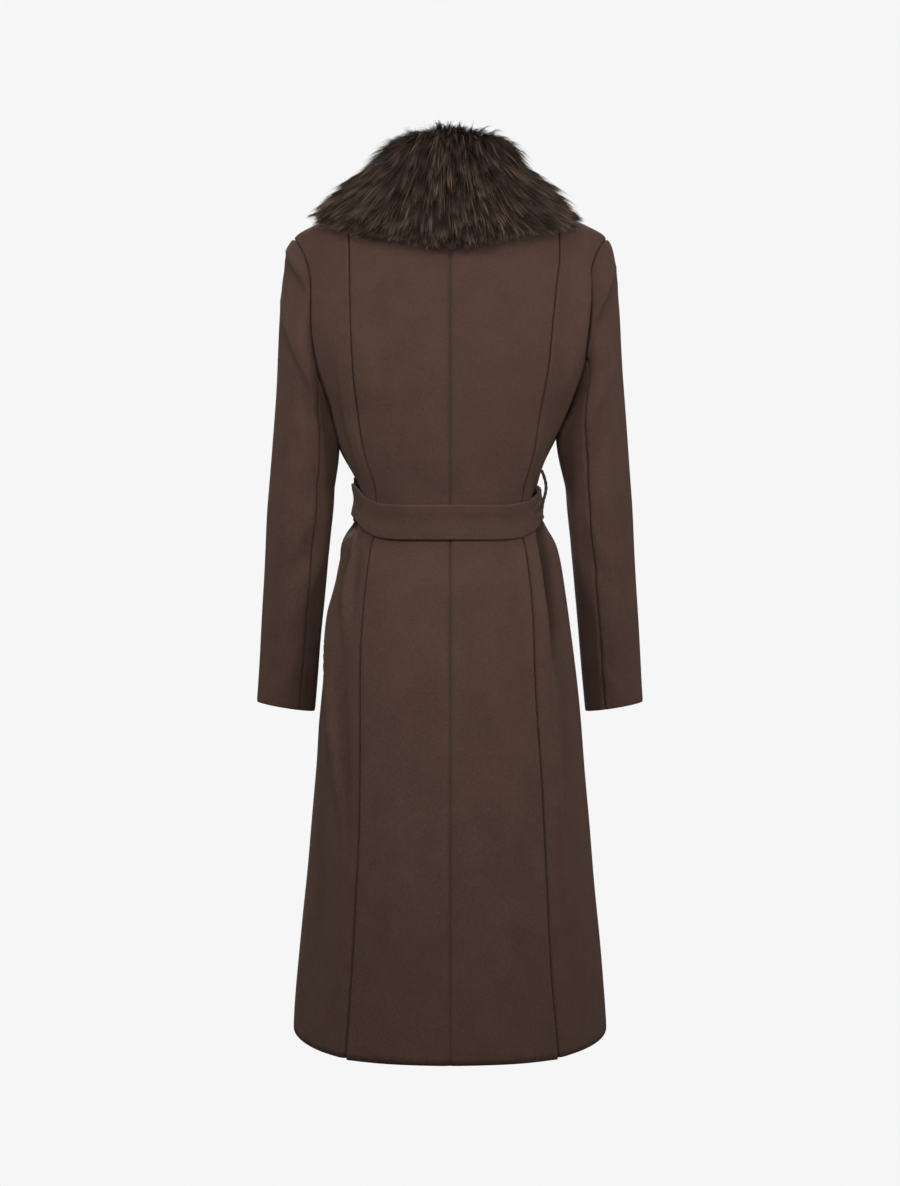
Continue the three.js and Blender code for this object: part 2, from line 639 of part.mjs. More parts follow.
const KNOT = { width: 50, height: 50, depth: 27 };
const beltFront = Math.min(...beltSection(Math.PI).map((point) => point.y));
function knotSection(t) {
  const swell = Math.sqrt(1 - (0.86 * (2 * t - 1)) ** 2);
  const halfWidth = (KNOT.width / 2) * lerp(0.62, 1, swell);
  const depth = KNOT.depth * lerp(0.35, 1, swell);
  const z = WAIST + KNOT.height * (t - 0.5);
  return range(14).slice(0, -1).map((s) => {
    const angle = 2 * Math.PI * s;
    const x = halfWidth * signedPower(Math.cos(angle), 0.75);
    const y = (depth / 2) * signedPower(Math.sin(angle), 0.75) + (KNOT.depth - depth) / 2;
    return new THREE.Vector3(x, beltFront - SEAM - KNOT.depth / 2 + y, z);
  });
}
add("belt_knot", sweptSolid(range(8).map(knotSection)), CLOTH);

// Each tail hangs from the knot and lies on the skirt, the left one over the right.
const TAILS = [
  { name: "belt_tail_left", topX: 11.5, bottomX: 52, length: 392, over: 6.8 },
  { name: "belt_tail_right", topX: -11.5, bottomX: -38, length: 431, over: 0 },
];
for (const { name, topX, bottomX, length, over } of TAILS) {
  const startLift = 10;
  const slope = 0.075; // the cloth's slope under the knot, which raises what stands off it
  const top = WAIST - KNOT.height / 2 - SEAM - slope * (startLift + over + BELT_THICK);
  const place = (depth) => range(16).map((t) => range(4).map((u) => {
    const halfWidth = lerp(10, BELT_HEIGHT / 2, smooth(0, 0.16, t));
    const x = lerp(topX, bottomX, t ** 0.85) + halfWidth * (2 * u - 1);
    const z = top - length * t;
    const hang = lerp(startLift, 1.6, smooth(0, 0.1, t)) + 1.6 * Math.sin(9 * t) ** 2 * t;
    const lift = hang + over * (1 - smooth(0.38, 0.62, t));
    return bodyPoint(turnAt(x, z, "front"), z, lift + depth);
  }));
  add(name, wallSolid(place(BELT_THICK), place(0)), CLOTH);
}

// Belt loops: thin cords at the side seams, from above the belt to below it.
const LOOP_RADIUS = 1.9;
const LOOP_SIDES = 8;
const LOOPS = [
  { name: "belt_loop_left", mirror: false, stand: 1.5 },
  { name: "belt_loop_right", mirror: true, stand: 6 },
];
for (const { name, mirror, stand } of LOOPS) {
  const turn = radians(84);
  const reachUp = BELT_HEIGHT / 2 + 17;
  const route = range(12).map((t) => {
    const h = lerp(reachUp, -reachUp, t);
    const overBelt = smooth(reachUp, BELT_HEIGHT / 2 - 1, Math.abs(h));
    const bow = stand * Math.sin(Math.PI * t) ** 2;
    const clear = LOOP_RADIUS + 0.5 + (BELT_LIFT + BELT_THICK + bow) * overBelt;
    const point = bodyPoint(turn, WAIST + h, clear);
    if (mirror) point.x = -point.x;
    return point;
  });
  const curve = new THREE.CatmullRomCurve3(route);
  const sections = range(20).map((t) => {
    const tangent = curve.getTangent(t);
    const side = new THREE.Vector3(0, 1, 0).cross(tangent).normalize();
    const forward = tangent.clone().cross(side).normalize();
    return range(LOOP_SIDES).slice(0, -1).map((s) => curve.getPoint(t)
      .addScaledVector(side, LOOP_RADIUS * Math.cos(2 * Math.PI * s))
      .addScaledVector(forward, LOOP_RADIUS * Math.sin(2 * Math.PI * s)));
  });
  add(name, sweptSolid(sections), CORD);
}

export default group;
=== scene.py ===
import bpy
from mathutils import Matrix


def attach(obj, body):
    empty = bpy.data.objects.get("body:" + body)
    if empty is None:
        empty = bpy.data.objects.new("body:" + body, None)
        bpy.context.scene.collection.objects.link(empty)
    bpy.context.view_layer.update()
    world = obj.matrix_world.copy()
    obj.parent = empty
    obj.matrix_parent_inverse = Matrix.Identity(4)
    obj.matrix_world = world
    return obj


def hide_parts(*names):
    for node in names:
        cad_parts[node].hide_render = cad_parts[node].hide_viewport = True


bl_info = {
    "name": "Fur-collar coat",
    "version": (1, 0, 0),
    "blender": (4, 5, 0),
    "location": "View3D > Sidebar > Coat",
    "description": "A belted wool coat with a fur shawl collar, dressed over its packed solids",
    "category": "Object",
}

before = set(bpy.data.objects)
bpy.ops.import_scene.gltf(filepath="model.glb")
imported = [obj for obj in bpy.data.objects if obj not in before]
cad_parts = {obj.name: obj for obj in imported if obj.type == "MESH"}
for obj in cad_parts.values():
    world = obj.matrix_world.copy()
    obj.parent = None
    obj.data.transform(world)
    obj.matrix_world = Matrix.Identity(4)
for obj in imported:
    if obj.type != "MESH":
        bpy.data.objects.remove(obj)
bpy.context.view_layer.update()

import math

import bpy
import numpy as np
from bpy.props import (FloatProperty, FloatVectorProperty, IntProperty, PointerProperty)

MM = 0.001
BODY = "root"
SIDES = (("left", 1), ("right", -1))

# Sizes of the coat, in millimetres, as its solids have them. The origin lies
# midway between the shoulder tips, the front faces -Y and the wearer's left is +X.
NECK_HALF = 75
NECK_HEIGHT = 59
SHOULDER_TIP = 207
ARMHOLE_DEPTH = 240
ARMHOLE_BACK = 67
ARMHOLE_FRONT = 60
WAIST = -345
WAIST_DIP = 34
BELT_HEIGHT = 46
BELT_THICK = 4.5
BELT_LIFT = 1.0
CUFF_HEIGHT = -620.5
CUFF_SLANT = 6.5
HEM_BACK = -1057
HEM_SIDE = -1044
HEM_FRONT = -1040

# Rings of the cloth: height, half width, depth behind, depth in front, power.
RINGS = np.array([
    (NECK_HEIGHT, NECK_HALF, 68, 62, 2.0),
    (40, 122, 76, 66, 2.0),
    (19, 176, 84, 70, 2.05),
    (0, SHOULDER_TIP, 92, 76, 2.1),
    (-50, 203, 103, 90, 2.4),
    (-110, 202, 113, 106, 2.6),
    (-170, 189, 118, 122, 2.6),
    (-210, 170, 118, 128, 2.5),
    (-240, 154, 114, 128, 2.4),
    (-282, 139, 105, 120, 2.4),
    (-320, 124, 95, 105, 2.4),
    (-345, 119, 90, 98, 2.4),
    (-372, 125, 92, 99, 2.4),
    (-410, 142, 104, 108, 2.4),
    (-458, 152, 116, 118, 2.4),
    (-537, 163, 129, 128, 2.4),
    (-638, 173, 141, 137, 2.35),
    (-745, 182, 150, 145, 2.3),
    (-851, 191, 158, 152, 2.25),
    (-958, 201, 165, 158, 2.2),
    (-1057, 208, 172, 165, 2.2),
])
HALF, BACK, FRONT, POWER = 1, 2, 3, 4

# The curved panel seam of the back: height, left and right distance from the middle.
PRINCESS = np.array([
    (36, 132, 138),
    (-28, 130, 142),
    (-81, 129, 136.5),
    (-133, 127.5, 131),
    (-184, 124.5, 126),
    (-235, 118.5, 117),
    (-285, 110, 106),
    (-336, 96.5, 95),
    (-379, 95.5, 91),
    (-414, 104, 98),
    (-504, 112.5, 105),
    (-555, 114.5, 106.5),
    (-655, 114.5, 112),
    (-755, 115.5, 118),
    (-855, 119, 123.5),
    (-954, 124.5, 128.5),
    (-1057, 132.5, 138),
])
PRINCESS_TOP = {"left": 36, "right": 33.5}

# The front edge: height and how far it reaches past the centre line.
FRONT_EDGE = np.array([
    (NECK_HEIGHT, -NECK_HALF),
    (40, -70),
    (0, -57),
    (-60, -42),
    (-120, -27),
    (-215, 0),
    (-290, 34),
    (-345, 58),
    (-420, 64),
    (-1057, 66),
])

# Creases of the body cloth. Side is 1 on the wearer's left, face
# is 1 behind. Each runs from top to bottom through three distances from the
# centre line, and has a width and a rise (a trough has a negative one).
CREASES = (
    # side, face, top, bottom, x at top, x halfway, x at bottom, width, rise
    (1, 1, -150, -338, 146, 130, 106, 7, 6.0),
    (1, 1, -196, -318, 124, 116, 98, 8, -1.6),
    (1, 1, -222, -342, 160, 150, 132, 15, 6.5),
    (1, -1, -222, -342, 160, 150, 132, 15, 6.5),
    (1, 1, -354, -424, 132, 140, 148, 14, 4.4),
    (1, -1, -354, -424, 132, 140, 148, 14, 4.4),
    (-1, 1, -246, -378, 152, 134, 122, 15, -6.0),
    (-1, -1, -246, -378, 152, 134, 122, 15, -6.0),
    (1, 1, -262, -326, 84, 76, 74, 9, 1.0),
    (1, 1, -370, -560, 131, 133, 136, 6, 8.5),
    (1, 1, -376, -540, 117, 121, 127, 6, -5.6),
    (1, 1, -306, -520, 122, 132, 148, 6, -8.0),
    (1, 1, -450, -800, 158, 150, 136, 7, 10.0),
    (1, 1, -470, -830, 143, 136, 124, 8, -7.5),
    (1, 1, -640, -1000, 168, 166, 170, 16, -3.0),
    (1, 1, -400, -560, 52, 60, 66, 15, -1.1),
    (1, 1, -700, -1040, 66, 70, 62, 22, 1.5),
    (1, 1, -60, -230, 96, 90, 84, 14, -1.0),
    (-1, 1, -368, -640, 107, 118, 124, 6, 8.5),
    (-1, 1, -380, -600, 118, 130, 136, 7, -6.6),
    (-1, 1, -306, -540, 112, 126, 144, 7, -8.0),
    (-1, 1, -430, -820, 142, 150, 158, 12, -3.0),
    (-1, 1, -480, -900, 128, 136, 148, 9, 6.5),
    (-1, 1, 20, -262, 175, 170, 140, 9, 9.0),
    (-1, 1, -20, -262, 160, 152, 126, 9, -2.6),
    (-1, 1, -240, -336, 120, 110, 92, 8, 3.4),
    (-1, 1, -620, -1030, 74, 80, 84, 24, 1.4),
    (-1, 1, -400, -520, 44, 50, 58, 14, 1.0),
    (1, -1, -392, -720, 100, 112, 120, 9, 4.6),
    (1, -1, -400, -640, 84, 94, 104, 9, -2.6),
    (1, -1, -380, -520, 122, 134, 142, 7, 3.0),
    (1, -1, -700, -1020, 138, 146, 152, 16, -3.0),
    (1, -1, -190, -322, 108, 96, 78, 8, 2.6),
    (-1, -1, -392, -660, 90, 104, 114, 9, 4.6),
    (-1, -1, -388, -560, 108, 122, 132, 8, -2.8),
    (-1, -1, -560, -940, 130, 142, 150, 14, 3.0),
    (-1, -1, -160, -318, 114, 102, 82, 8, 3.6),
    (-1, -1, -210, -320, 92, 82, 66, 8, -2.0),
    (-1, -1, -300, -332, 50, 40, 36, 6, 1.6),
)

# Creases of the sleeves, in the same way. The first ones are those of the cap.
SLEEVE_CREASES = (
    (1, 1, -6, -74, 219, 204, 186, 6, 4.2),
    (1, 1, -30, -110, 222, 200, 182, 8, -3.6),
    (1, 1, -70, -244, 224, 199, 162, 8, 6.5),
    (1, 1, -120, -262, 214, 192, 168, 9, -3.0),
    (1, 1, -238, -330, 204, 188, 166, 8, 2.0),
    (1, 1, -330, -430, 170, 186, 214, 11, 1.8),
    (1, 1, -372, -470, 172, 190, 220, 10, -1.7),
    (1, 1, -500, -600, 190, 200, 228, 12, 1.2),
    (1, 1, -222, -330, 152, 150, 156, 14, 3.2),
    (1, -1, -222, -330, 152, 150, 156, 14, 3.2),
    (-1, 1, -186, -330, 148, 148, 158, 14, 6.0),
    (-1, -1, -186, -330, 148, 148, 158, 14, 6.0),
    (-1, 1, -30, -150, 221, 197, 172, 7, 5.2),
    (-1, 1, -60, -180, 222, 202, 178, 9, -2.6),
    (-1, 1, -150, -270, 222, 200, 170, 10, 2.6),
    (-1, 1, -210, -330, 214, 196, 168, 9, -2.0),
    (-1, 1, -340, -440, 168, 188, 218, 11, 1.9),
    (-1, 1, -396, -480, 172, 192, 222, 9, -1.5),
    (-1, 1, -540, -604, 190, 204, 232, 11, 1.2),
    (1, -1, -60, -210, 220, 200, 174, 9, 3.4),
    (1, -1, -110, -260, 222, 198, 170, 9, -2.8),
    (1, -1, -300, -420, 236, 206, 176, 9, 2.8),
    (1, -1, -350, -460, 238, 208, 180, 9, -2.2),
    (1, -1, -390, -500, 240, 214, 184, 8, 2.2),
    (-1, -1, -50, -190, 220, 202, 176, 9, 3.2),
    (-1, -1, -130, -280, 222, 198, 170, 10, -2.6),
    (-1, -1, -310, -430, 236, 208, 176, 9, 2.8),
    (-1, -1, -352, -470, 238, 210, 180, 8, -2.2),
)

# Sleeve rings: height, distance of the middle, how far forward, half widths.
SLEEVE_RINGS = np.array([
    (-266, 193, 1, 42.5, 66),
    (-346, 198, 0, 43.5, 62),
    (-410, 203, 3, 42, 59),
    (-473, 208, 7, 41, 56),
    (-537, 213, 12, 40, 53),
    (-601, 218, 18, 39.3, 50),
    (-640, 221, 20, 39, 49),
])
SLEEVE_FRONT_SEAM = -125
ELBOW_SEAM = {"left": 124, "right": 113}

# Sections of the fur collar, from the centre back to the end on the chest: turn
# and height at the neck, turn and height at the edge, rise and lean of the crest,
# reach and drop of the crest's curve, reach and rise of the edge's curve, lip.
COLLAR = np.array([
    (0, 58, 0, -33, 75, 15, 37, 7, 37, 8, 14),
    (42, 58, 29, -14, 69, 13, 24, 11, 28, 8, 13),
    (90, 58, 90, 25, 54, 9, -5, 16, 1, 4, 7),
    (138, 46, 128, -12, 40, 16, 14, 6, 20, 16, 10),
    (163, 8, 141, -52, 24, 24, 12, 6, 20, 12, 12),
    (170.5, -52, 151, -112, 10, 28, 9, 6, 20, 8, 12),
    (175.5, -120, 163, -176, 6, 26, 7, 6, 18, 6, 11),
    (179.3, -196, 175, -228, 3, 17, 4, 5, 12, 4, 8),
])
NECK_LIFT = 0.8
EDGE_LIFT = 2.2

KNOT_WIDTH = 50
KNOT_HEIGHT = 50
KNOT_DEPTH = 27


# Small helpers on whole arrays

def lerp(a, b, t):
    return a + (b - a) * t


def smooth(start, end, value):
    """The cubic step 3t^2 - 2t^3 of the clamped place t between start and end."""
    t = np.clip((value - start) / (end - start), 0.0, 1.0)
    return t * t * (3 - 2 * t)


def signed_power(value, power):
    return np.sign(value) * np.abs(value) ** power


def unit(vectors):
    return vectors / np.maximum(np.linalg.norm(vectors, axis=-1, keepdims=True), 1e-9)


def bezier(a, b, c, d, t):
    """The cubic curve from a to d that b and c pull."""
    return (1 - t) ** 3 * a + 3 * t * (1 - t) ** 2 * b + 3 * t ** 2 * (1 - t) * c + t ** 3 * d


def read_column(table, column, z):
    """A cubic curve through a table sorted by falling height. Each row's slope is the
    harmonic mean of its neighbours' slopes, or zero where they differ in sign."""
    heights = table[:, 0].astype(float)
    values = table[:, column].astype(float)
    slope = np.diff(values) / np.diff(heights)
    before, after = slope[:-1], slope[1:]
    total = np.where(np.abs(before + after) < 1e-12, 1.0, before + after)
    inner = np.where(before * after <= 0, 0.0, 2 * before * after / total)
    tangent = np.concatenate([slope[:1], inner, slope[-1:]])
    z = np.asarray(z, float)
    i = np.clip(np.searchsorted(-heights, -z, side="right") - 1, 0, len(heights) - 2)
    span = heights[i + 1] - heights[i]
    t = np.clip((z - heights[i]) / span, 0.0, 1.0)
    start_pull = tangent[i] * span * (t ** 3 - 2 * t ** 2 + t)
    end_pull = tangent[i + 1] * span * (t ** 3 - t ** 2)
    return lerp(values[i], values[i + 1], 3 * t ** 2 - 2 * t ** 3) + start_pull + end_pull


def read_rows(table, column, place):
    """A Catmull-Rom curve through one column of evenly spaced rows, 0 to 1. Before
    the first row, the turns go on with the other sign and the rest is mirrored."""
    values = table[:, column].astype(float)
    rows = len(values) - 1
    i = np.clip(np.floor(place * rows).astype(int), 0, rows - 1)
    t = place * rows - i
    before_first = -1.0 if column in (0, 2) else 1.0
    at = lambda k: values[np.minimum(np.abs(k), rows)] * np.where(k < 0, before_first, 1.0)
    before = (at(i + 1) - at(i - 1)) / 2
    after = (at(i + 2) - at(i)) / 2
    pull = before * (t ** 3 - 2 * t ** 2 + t) + after * (t ** 3 - t ** 2)
    return lerp(at(i), at(i + 1), 3 * t ** 2 - 2 * t ** 3) + pull


# The body's cloth surface

def waist_weight(z):
    """How strongly a height follows the dip of the waist at the back."""
    above = smooth(-215, WAIST + 25, z)
    below = smooth(-560, WAIST - 30, z)
    return np.where(z > WAIST, above, below)


def crease_rise(table, points):
    """Ridges and troughs: each is a bell curve across its path, times a power of a
    sine along it, so it fades out at both ends. The path is a parabola. A narrow
    ridge falls off more steeply on its outer side, like a fold of thick wool."""
    x, y, z = points[..., 0], points[..., 1], points[..., 2]
    rise = np.zeros(x.shape)
    for side, face, top, bottom, x_top, x_half, x_end, width, height in table:
        t = np.clip((z - top) / (bottom - top), 0.0, 1.0)
        path = lerp(x_top, x_end, t) + 4 * t * (1 - t) * (x_half - (x_top + x_end) / 2)
        across = side * x - path
        on_face = smooth(-14, 14, face * y)
        if height > 0 and width < 13:
            across = across / np.where(across > 0, 0.5, 2.0)
        bell = np.exp(-(across / width) ** 2)
        rise += height * on_face * np.sin(np.pi * t) ** 1.2 * bell
    return rise


def fold_shade(line, folds):
    """Adds painted shade at the bottoms of folds to the seams' painted shade: nothing
    where a fold is less than 1 mm deep, all of it at 10 mm."""
    settings = bpy.context.scene.coat_cloth
    deep = settings.fold_shade * smooth(-1.0, -10.0, folds)
    return np.maximum(line.reshape(2, -1), deep.reshape(1, -1)).ravel()


def ripple(points, seed):
    """Faint unevenness of hanging wool: three slow sines, under a millimetre high."""
    x, y, z = points[..., 0], points[..., 1], points[..., 2]
    first = np.sin(0.021 * z + 0.031 * x + seed) * np.sin(0.043 * x - 0.017 * y + 2 * seed)
    second = np.sin(0.047 * z - 0.052 * x + 3 * seed)
    return 0.55 * first + 0.18 * second


def ring_depth(behind, z):
    """Depth of the ring at height z, behind the middle or in front of it."""
    return np.where(behind, read_column(RINGS, BACK, z), read_column(RINGS, FRONT, z))


def smooth_body(turn, z):
    """Body surface without creases: superellipse rings x = half sin^(2/n) and
    y = depth cos^(2/n), lowered behind by the waist's dip."""
    sin, cos = np.sin(turn), np.cos(turn)
    power = 2 / read_column(RINGS, POWER, z)
    x = read_column(RINGS, HALF, z) * signed_power(sin, power)
    y = ring_depth(cos > 0, z) * signed_power(cos, power)
    dip = np.where(cos > 0, WAIST_DIP * waist_weight(z) * (1 - sin ** 6), 0.0)
    return np.stack([x, y, z - dip], axis=-1)


def body_normal(turn, z):
    """Outward normal: the cross product of the differences along and around."""
    step, rise = math.radians(0.6), 1.5
    top = np.minimum(z + rise, NECK_HEIGHT)
    around = smooth_body(turn + step, z) - smooth_body(turn - step, z)
    along = smooth_body(turn, top) - smooth_body(turn, top - 2 * rise)
    return unit(np.cross(along, around))


def body_point(turn, z, lift=0.0):
    """Body surface with its creases, moved out along the normal by lift."""
    turn, z = np.broadcast_arrays(np.asarray(turn, float), np.asarray(z, float))
    point = smooth_body(turn, z)
    rise = bpy.context.scene.coat_cloth.crease * crease_rise(CREASES, point) + lift
    return point + body_normal(turn, z) * np.asarray(rise)[..., None]


def turn_at(x, z, behind=True):
    """The turn at which the ring at height z reaches the distance x."""
    ratio = np.clip(x / read_column(RINGS, HALF, z), -1, 1)
    from_middle = np.arcsin(signed_power(ratio, read_column(RINGS, POWER, z) / 2))
    return from_middle if behind else math.pi - from_middle


def turn_at_depth(y, z):
    """The turn at which the ring at height z reaches the depth y."""
    ratio = np.clip(y / ring_depth(y > 0, z), -1, 1)
    return np.arccos(signed_power(ratio, read_column(RINGS, POWER, z) / 2))


def armhole_height(angle):
    return -ARMHOLE_DEPTH / 2 + ARMHOLE_DEPTH / 2 * np.cos(angle)


def armhole(angle):
    """The armhole, an ellipse in the side view: 0 at the shoulder tip, 90 degrees at
    the back and 180 under the arm. Gives its turn and height."""
    z = armhole_height(angle)
    reach = np.where(np.sin(angle) > 0, ARMHOLE_BACK, ARMHOLE_FRONT)
    return turn_at_depth(reach * np.sin(angle), z), z


# Meshes

def quads_of(index):
    """The corners of each cell in a grid of point numbers."""
    a, b, c, d = index[:-1, :-1], index[:-1, 1:], index[1:, 1:], index[1:, :-1]
    return np.stack([a, b, c, d], axis=-1).reshape(-1, 4)


def new_mesh(name, points, faces, material, attributes=None):
    """Puts points in millimetres and faces into a mesh object at the origin."""
    points = np.asarray(points, np.float64).reshape(-1, 3) * MM
    count, corners = faces.shape
    mesh = bpy.data.meshes.new(name)
    mesh.vertices.add(len(points))
    mesh.vertices.foreach_set("co", points.astype(np.float32).ravel())
    mesh.loops.add(count * corners)
    mesh.loops.foreach_set("vertex_index", faces.reshape(-1).astype(np.int32))
    mesh.polygons.add(count)
    mesh.polygons.foreach_set("loop_start", np.arange(count, dtype=np.int32) * corners)
    mesh.polygons.foreach_set("use_smooth", np.ones(count, bool))
    for key, values in (attributes or {}).items():
        layer = mesh.attributes.new(key, "FLOAT", "POINT")
        layer.data.foreach_set("value", np.asarray(values, np.float32))
    mesh.update(calc_edges=True)
    mesh.validate()
    obj = bpy.data.objects.new(name, mesh)
    bpy.context.scene.collection.objects.link(obj)
    mesh.materials.append(material)
    return obj


def face_outwards(points, faces):
    """Turns all faces over if the closed mesh has a negative volume."""
    a, b, c = points[faces[:, 0]], points[faces[:, 1]], points[faces[:, 2]]
    volume = np.einsum("ij,ij->i", a, np.cross(b, c)).sum()
    if faces.shape[1] == 4:
        d = points[faces[:, 3]]
        volume += np.einsum("ij,ij->i", a, np.cross(c, d)).sum()
    return faces[:, ::-1] if volume < 0 else faces


def wall_mesh(name, outer, inner, material, attributes=None):
    """A closed wall between an outer and an inner grid, with a rim of quads."""
    rows, columns = outer.shape[:2]
    count = rows * columns
    points = np.concatenate([outer.reshape(-1, 3), inner.reshape(-1, 3)])
    index = np.arange(count).reshape(rows, columns)
    border = np.concatenate([index[0, :-1], index[:-1, -1], index[-1, :0:-1], index[:0:-1, 0]])
    after = np.roll(border, -1)
    rim = np.stack([after, border, border + count, after + count], axis=-1)
    faces = np.concatenate([quads_of(index), quads_of(index + count)[:, ::-1], rim])
    return new_mesh(name, points, face_outwards(points, faces), material, attributes)


def swept_mesh(name, sections, material, loop=False, attributes=None):
    """A closed tube through closed sections (stations, points, 3). A loop joins the
    last section to the first. Otherwise a fan of triangles closes each end."""
    stations, count = sections.shape[:2]
    index = np.arange(stations * count).reshape(stations, count)
    index = np.hstack([index, index[:, :1]])
    if loop:
        index = np.vstack([index, index[:1]])
    faces = quads_of(index)
    points = sections.reshape(-1, 3)
    if not loop:
        hubs = np.stack([sections[0].mean(axis=0), sections[-1].mean(axis=0)])
        first, last = len(points), len(points) + 1
        points = np.concatenate([points, hubs])
        start, end = index[0], index[-1]
        start_cap = np.stack([np.full(count, first), start[1:], start[:-1]], axis=-1)
        end_cap = np.stack([np.full(count, last), end[:-1], end[1:]], axis=-1)
        faces = np.concatenate([faces[:, :3], faces[:, [0, 2, 3]], start_cap, end_cap])
    return new_mesh(name, points, face_outwards(points, faces), material, attributes)


def finish_piece(obj, slot, *nodes):
    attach(obj, BODY)
    if nodes:
        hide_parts(*nodes)
    return obj


# Materials

def new_material(name):
    material = bpy.data.materials.new(name)
    material.use_nodes = True
    nodes, links = material.node_tree.nodes, material.node_tree.links
    return material, nodes, links, nodes["Principled BSDF"]


def feed(links, socket, value):
    """Joins another node's output to a socket, or writes a constant on it."""
    if isinstance(value, bpy.types.NodeSocket):
        links.new(value, socket)
    else:
        socket.default_value = value


def noise(nodes, links, vector, scale, detail, roughness=0.55):
    node = nodes.new("ShaderNodeTexNoise")
    for key, value in (("Vector", vector), ("Scale", scale), ("Detail", detail),
                       ("Roughness", roughness)):
        feed(links, node.inputs[key], value)
    return node.outputs["Fac"]


def ramp(nodes, links, value, stops):
    node = nodes.new("ShaderNodeValToRGB")
    elements = node.color_ramp.elements
    while len(elements) < len(stops):
        elements.new(0.5)
    for element, (place, colour) in zip(elements, stops):
        element.position = place
        element.color = (*colour, 1.0)
    links.new(value, node.inputs["Fac"])
    return node.outputs["Color"]


def calculate(nodes, links, operation, *values):
    node = nodes.new("ShaderNodeMath")
    node.operation = operation
    for socket, value in zip(node.inputs, values):
        feed(links, socket, value)
    return node.outputs[0]


def mix(nodes, links, kind, factor, a, b, blend="MIX"):
    node = nodes.new("ShaderNodeMix")
    node.data_type = kind
    node.blend_type = blend
    for key, value in (("Factor", factor), ("A", a), ("B", b)):
        feed(links, node.inputs[key], value)
    return node.outputs["Result"]


def attribute(nodes, name):
    node = nodes.new("ShaderNodeAttribute")
    node.attribute_name = name
    return node.outputs["Fac"]


def add_bump(nodes, links, shader, height, strength, distance):
    node = nodes.new("ShaderNodeBump")
    for key, value in (("Height", height), ("Strength", strength), ("Distance", distance)):
        feed(links, node.inputs[key], value)
    links.new(node.outputs["Normal"], shader.inputs["Normal"])


def wool_material(settings):
    """Felted wool: mottled brown, fine fibres as bump, a soft nap as sheen. The mesh's
    seam attribute paints shade into the joins of the seams and the bottoms of the folds."""
    material, nodes, links, shader = new_material("felted_wool")
    place = nodes.new("ShaderNodeTexCoord").outputs["Object"]
    fibres_turn = nodes.new("ShaderNodeMapping")
    fibres_turn.inputs["Rotation"].default_value = (0.5, 0.35, 0.9)
    fibres_turn.inputs["Scale"].default_value = (1.0, 1.0, 0.22)
    links.new(place, fibres_turn.inputs["Vector"])
    fibres = noise(nodes, links, fibres_turn.outputs["Vector"], 1150.0, 2.0, 0.6)
    grain = noise(nodes, links, place, 760.0, 3.0, 0.7)
    felt = noise(nodes, links, place, 330.0, 2.0, 0.6)
    cloud = noise(nodes, links, place, 26.0, 3.0)
    coarse = mix(nodes, links, "FLOAT", 0.4, felt, cloud)
    coarse_part = calculate(nodes, links, "MULTIPLY", coarse, 0.6)
    tone = calculate(nodes, links, "MULTIPLY_ADD", grain, 0.4, coarse_part)
    dark, light = np.array(settings.shadow_colour), np.array(settings.cloth_colour)
    colours = ramp(nodes, links, tone, [
        (0.34, dark), (0.51, (dark + light) / 2), (0.68, light)])
    # Painted shade: the seam attribute, times the seam shade, blends the wool's colour towards near
    # black at seam joins and fold bottoms.
    depth = calculate(nodes, links, "MULTIPLY", attribute(nodes, "seam"), settings.seam_shade)
    painted_shade_mix = mix(nodes, links, "RGBA", depth, colours, (0.004, 0.0022, 0.0018, 1.0))
    links.new(painted_shade_mix, shader.inputs["Base Color"])
    rough = ramp(nodes, links, grain, [(0.2, (0.82,) * 3), (0.8, (0.98,) * 3)])
    links.new(rough, shader.inputs["Roughness"])
    heights = calculate(nodes, links, "ADD", grain, fibres)
    add_bump(nodes, links, shader, heights, 0.8, 0.0008)
    shader.inputs["Specular IOR Level"].default_value = 0.12
    shader.inputs["Sheen Weight"].default_value = settings.nap
    shader.inputs["Sheen Roughness"].default_value = 0.55
    shader.inputs["Sheen Tint"].default_value = (0.66, 0.44, 0.36, 1.0)
    return material


def underfur_material(settings):
    """The pelt's short wool between the hairs: matt, dark and mottled."""
    material, nodes, links, shader = new_material("underfur")
    root = np.array(settings.root_colour)
    place = nodes.new("ShaderNodeTexCoord").outputs["Object"]
    tufts = noise(nodes, links, place, 210.0, 4.0, 0.65)
    colours = ramp(nodes, links, tufts, [(0.35, root * 0.5), (0.75, root * 1.2)])
    links.new(colours, shader.inputs["Base Color"])
    add_bump(nodes, links, shader, tufts, 0.9, 0.002)
    shader.inputs["Roughness"].default_value = 0.95
    shader.inputs["Specular IOR Level"].default_value = 0.1
    return material


def hair_material(settings):
    """Hair that is dark at the root and lighter at the tip, with each hair's own
    shade, read from the mesh's attributes."""
    material, nodes, links, shader = new_material("fur_hair")
    root, middle, tip = (np.array(c) for c in (settings.root_colour, settings.fur_colour,
                                               settings.tip_colour))
    base = ramp(nodes, links, attribute(nodes, "along"), [
        (0.0, root * 0.7), (0.35, root), (0.7, middle), (1.0, tip)])
    own = ramp(nodes, links, attribute(nodes, "shade"), [
        (0.0, (0.16, 0.155, 0.15)), (0.5, (0.40, 0.39, 0.38)), (0.8, (0.78, 0.77, 0.77)),
        (1.0, (2.3, 2.25, 2.2))])
    colour = mix(nodes, links, "RGBA", 1.0, base, own, "MULTIPLY")
    links.new(colour, shader.inputs["Base Color"])
    shader.inputs["Roughness"].default_value = 0.6
    shader.inputs["Specular IOR Level"].default_value = 0.05
    return material


def cord_material():
    """Twisted thread: stripes that follow the ply's own coordinate."""
    material, nodes, links, shader = new_material("twisted_thread")
    colours = ramp(nodes, links, attribute(nodes, "ply"), [
        (0.0, (0.004, 0.0025, 0.002)), (0.5, (0.014, 0.009, 0.007)), (1.0, (0.005, 0.003, 0.0025))])
    links.new(colours, shader.inputs["Base Color"])
    shader.inputs["Roughness"].default_value = 0.7
    return material


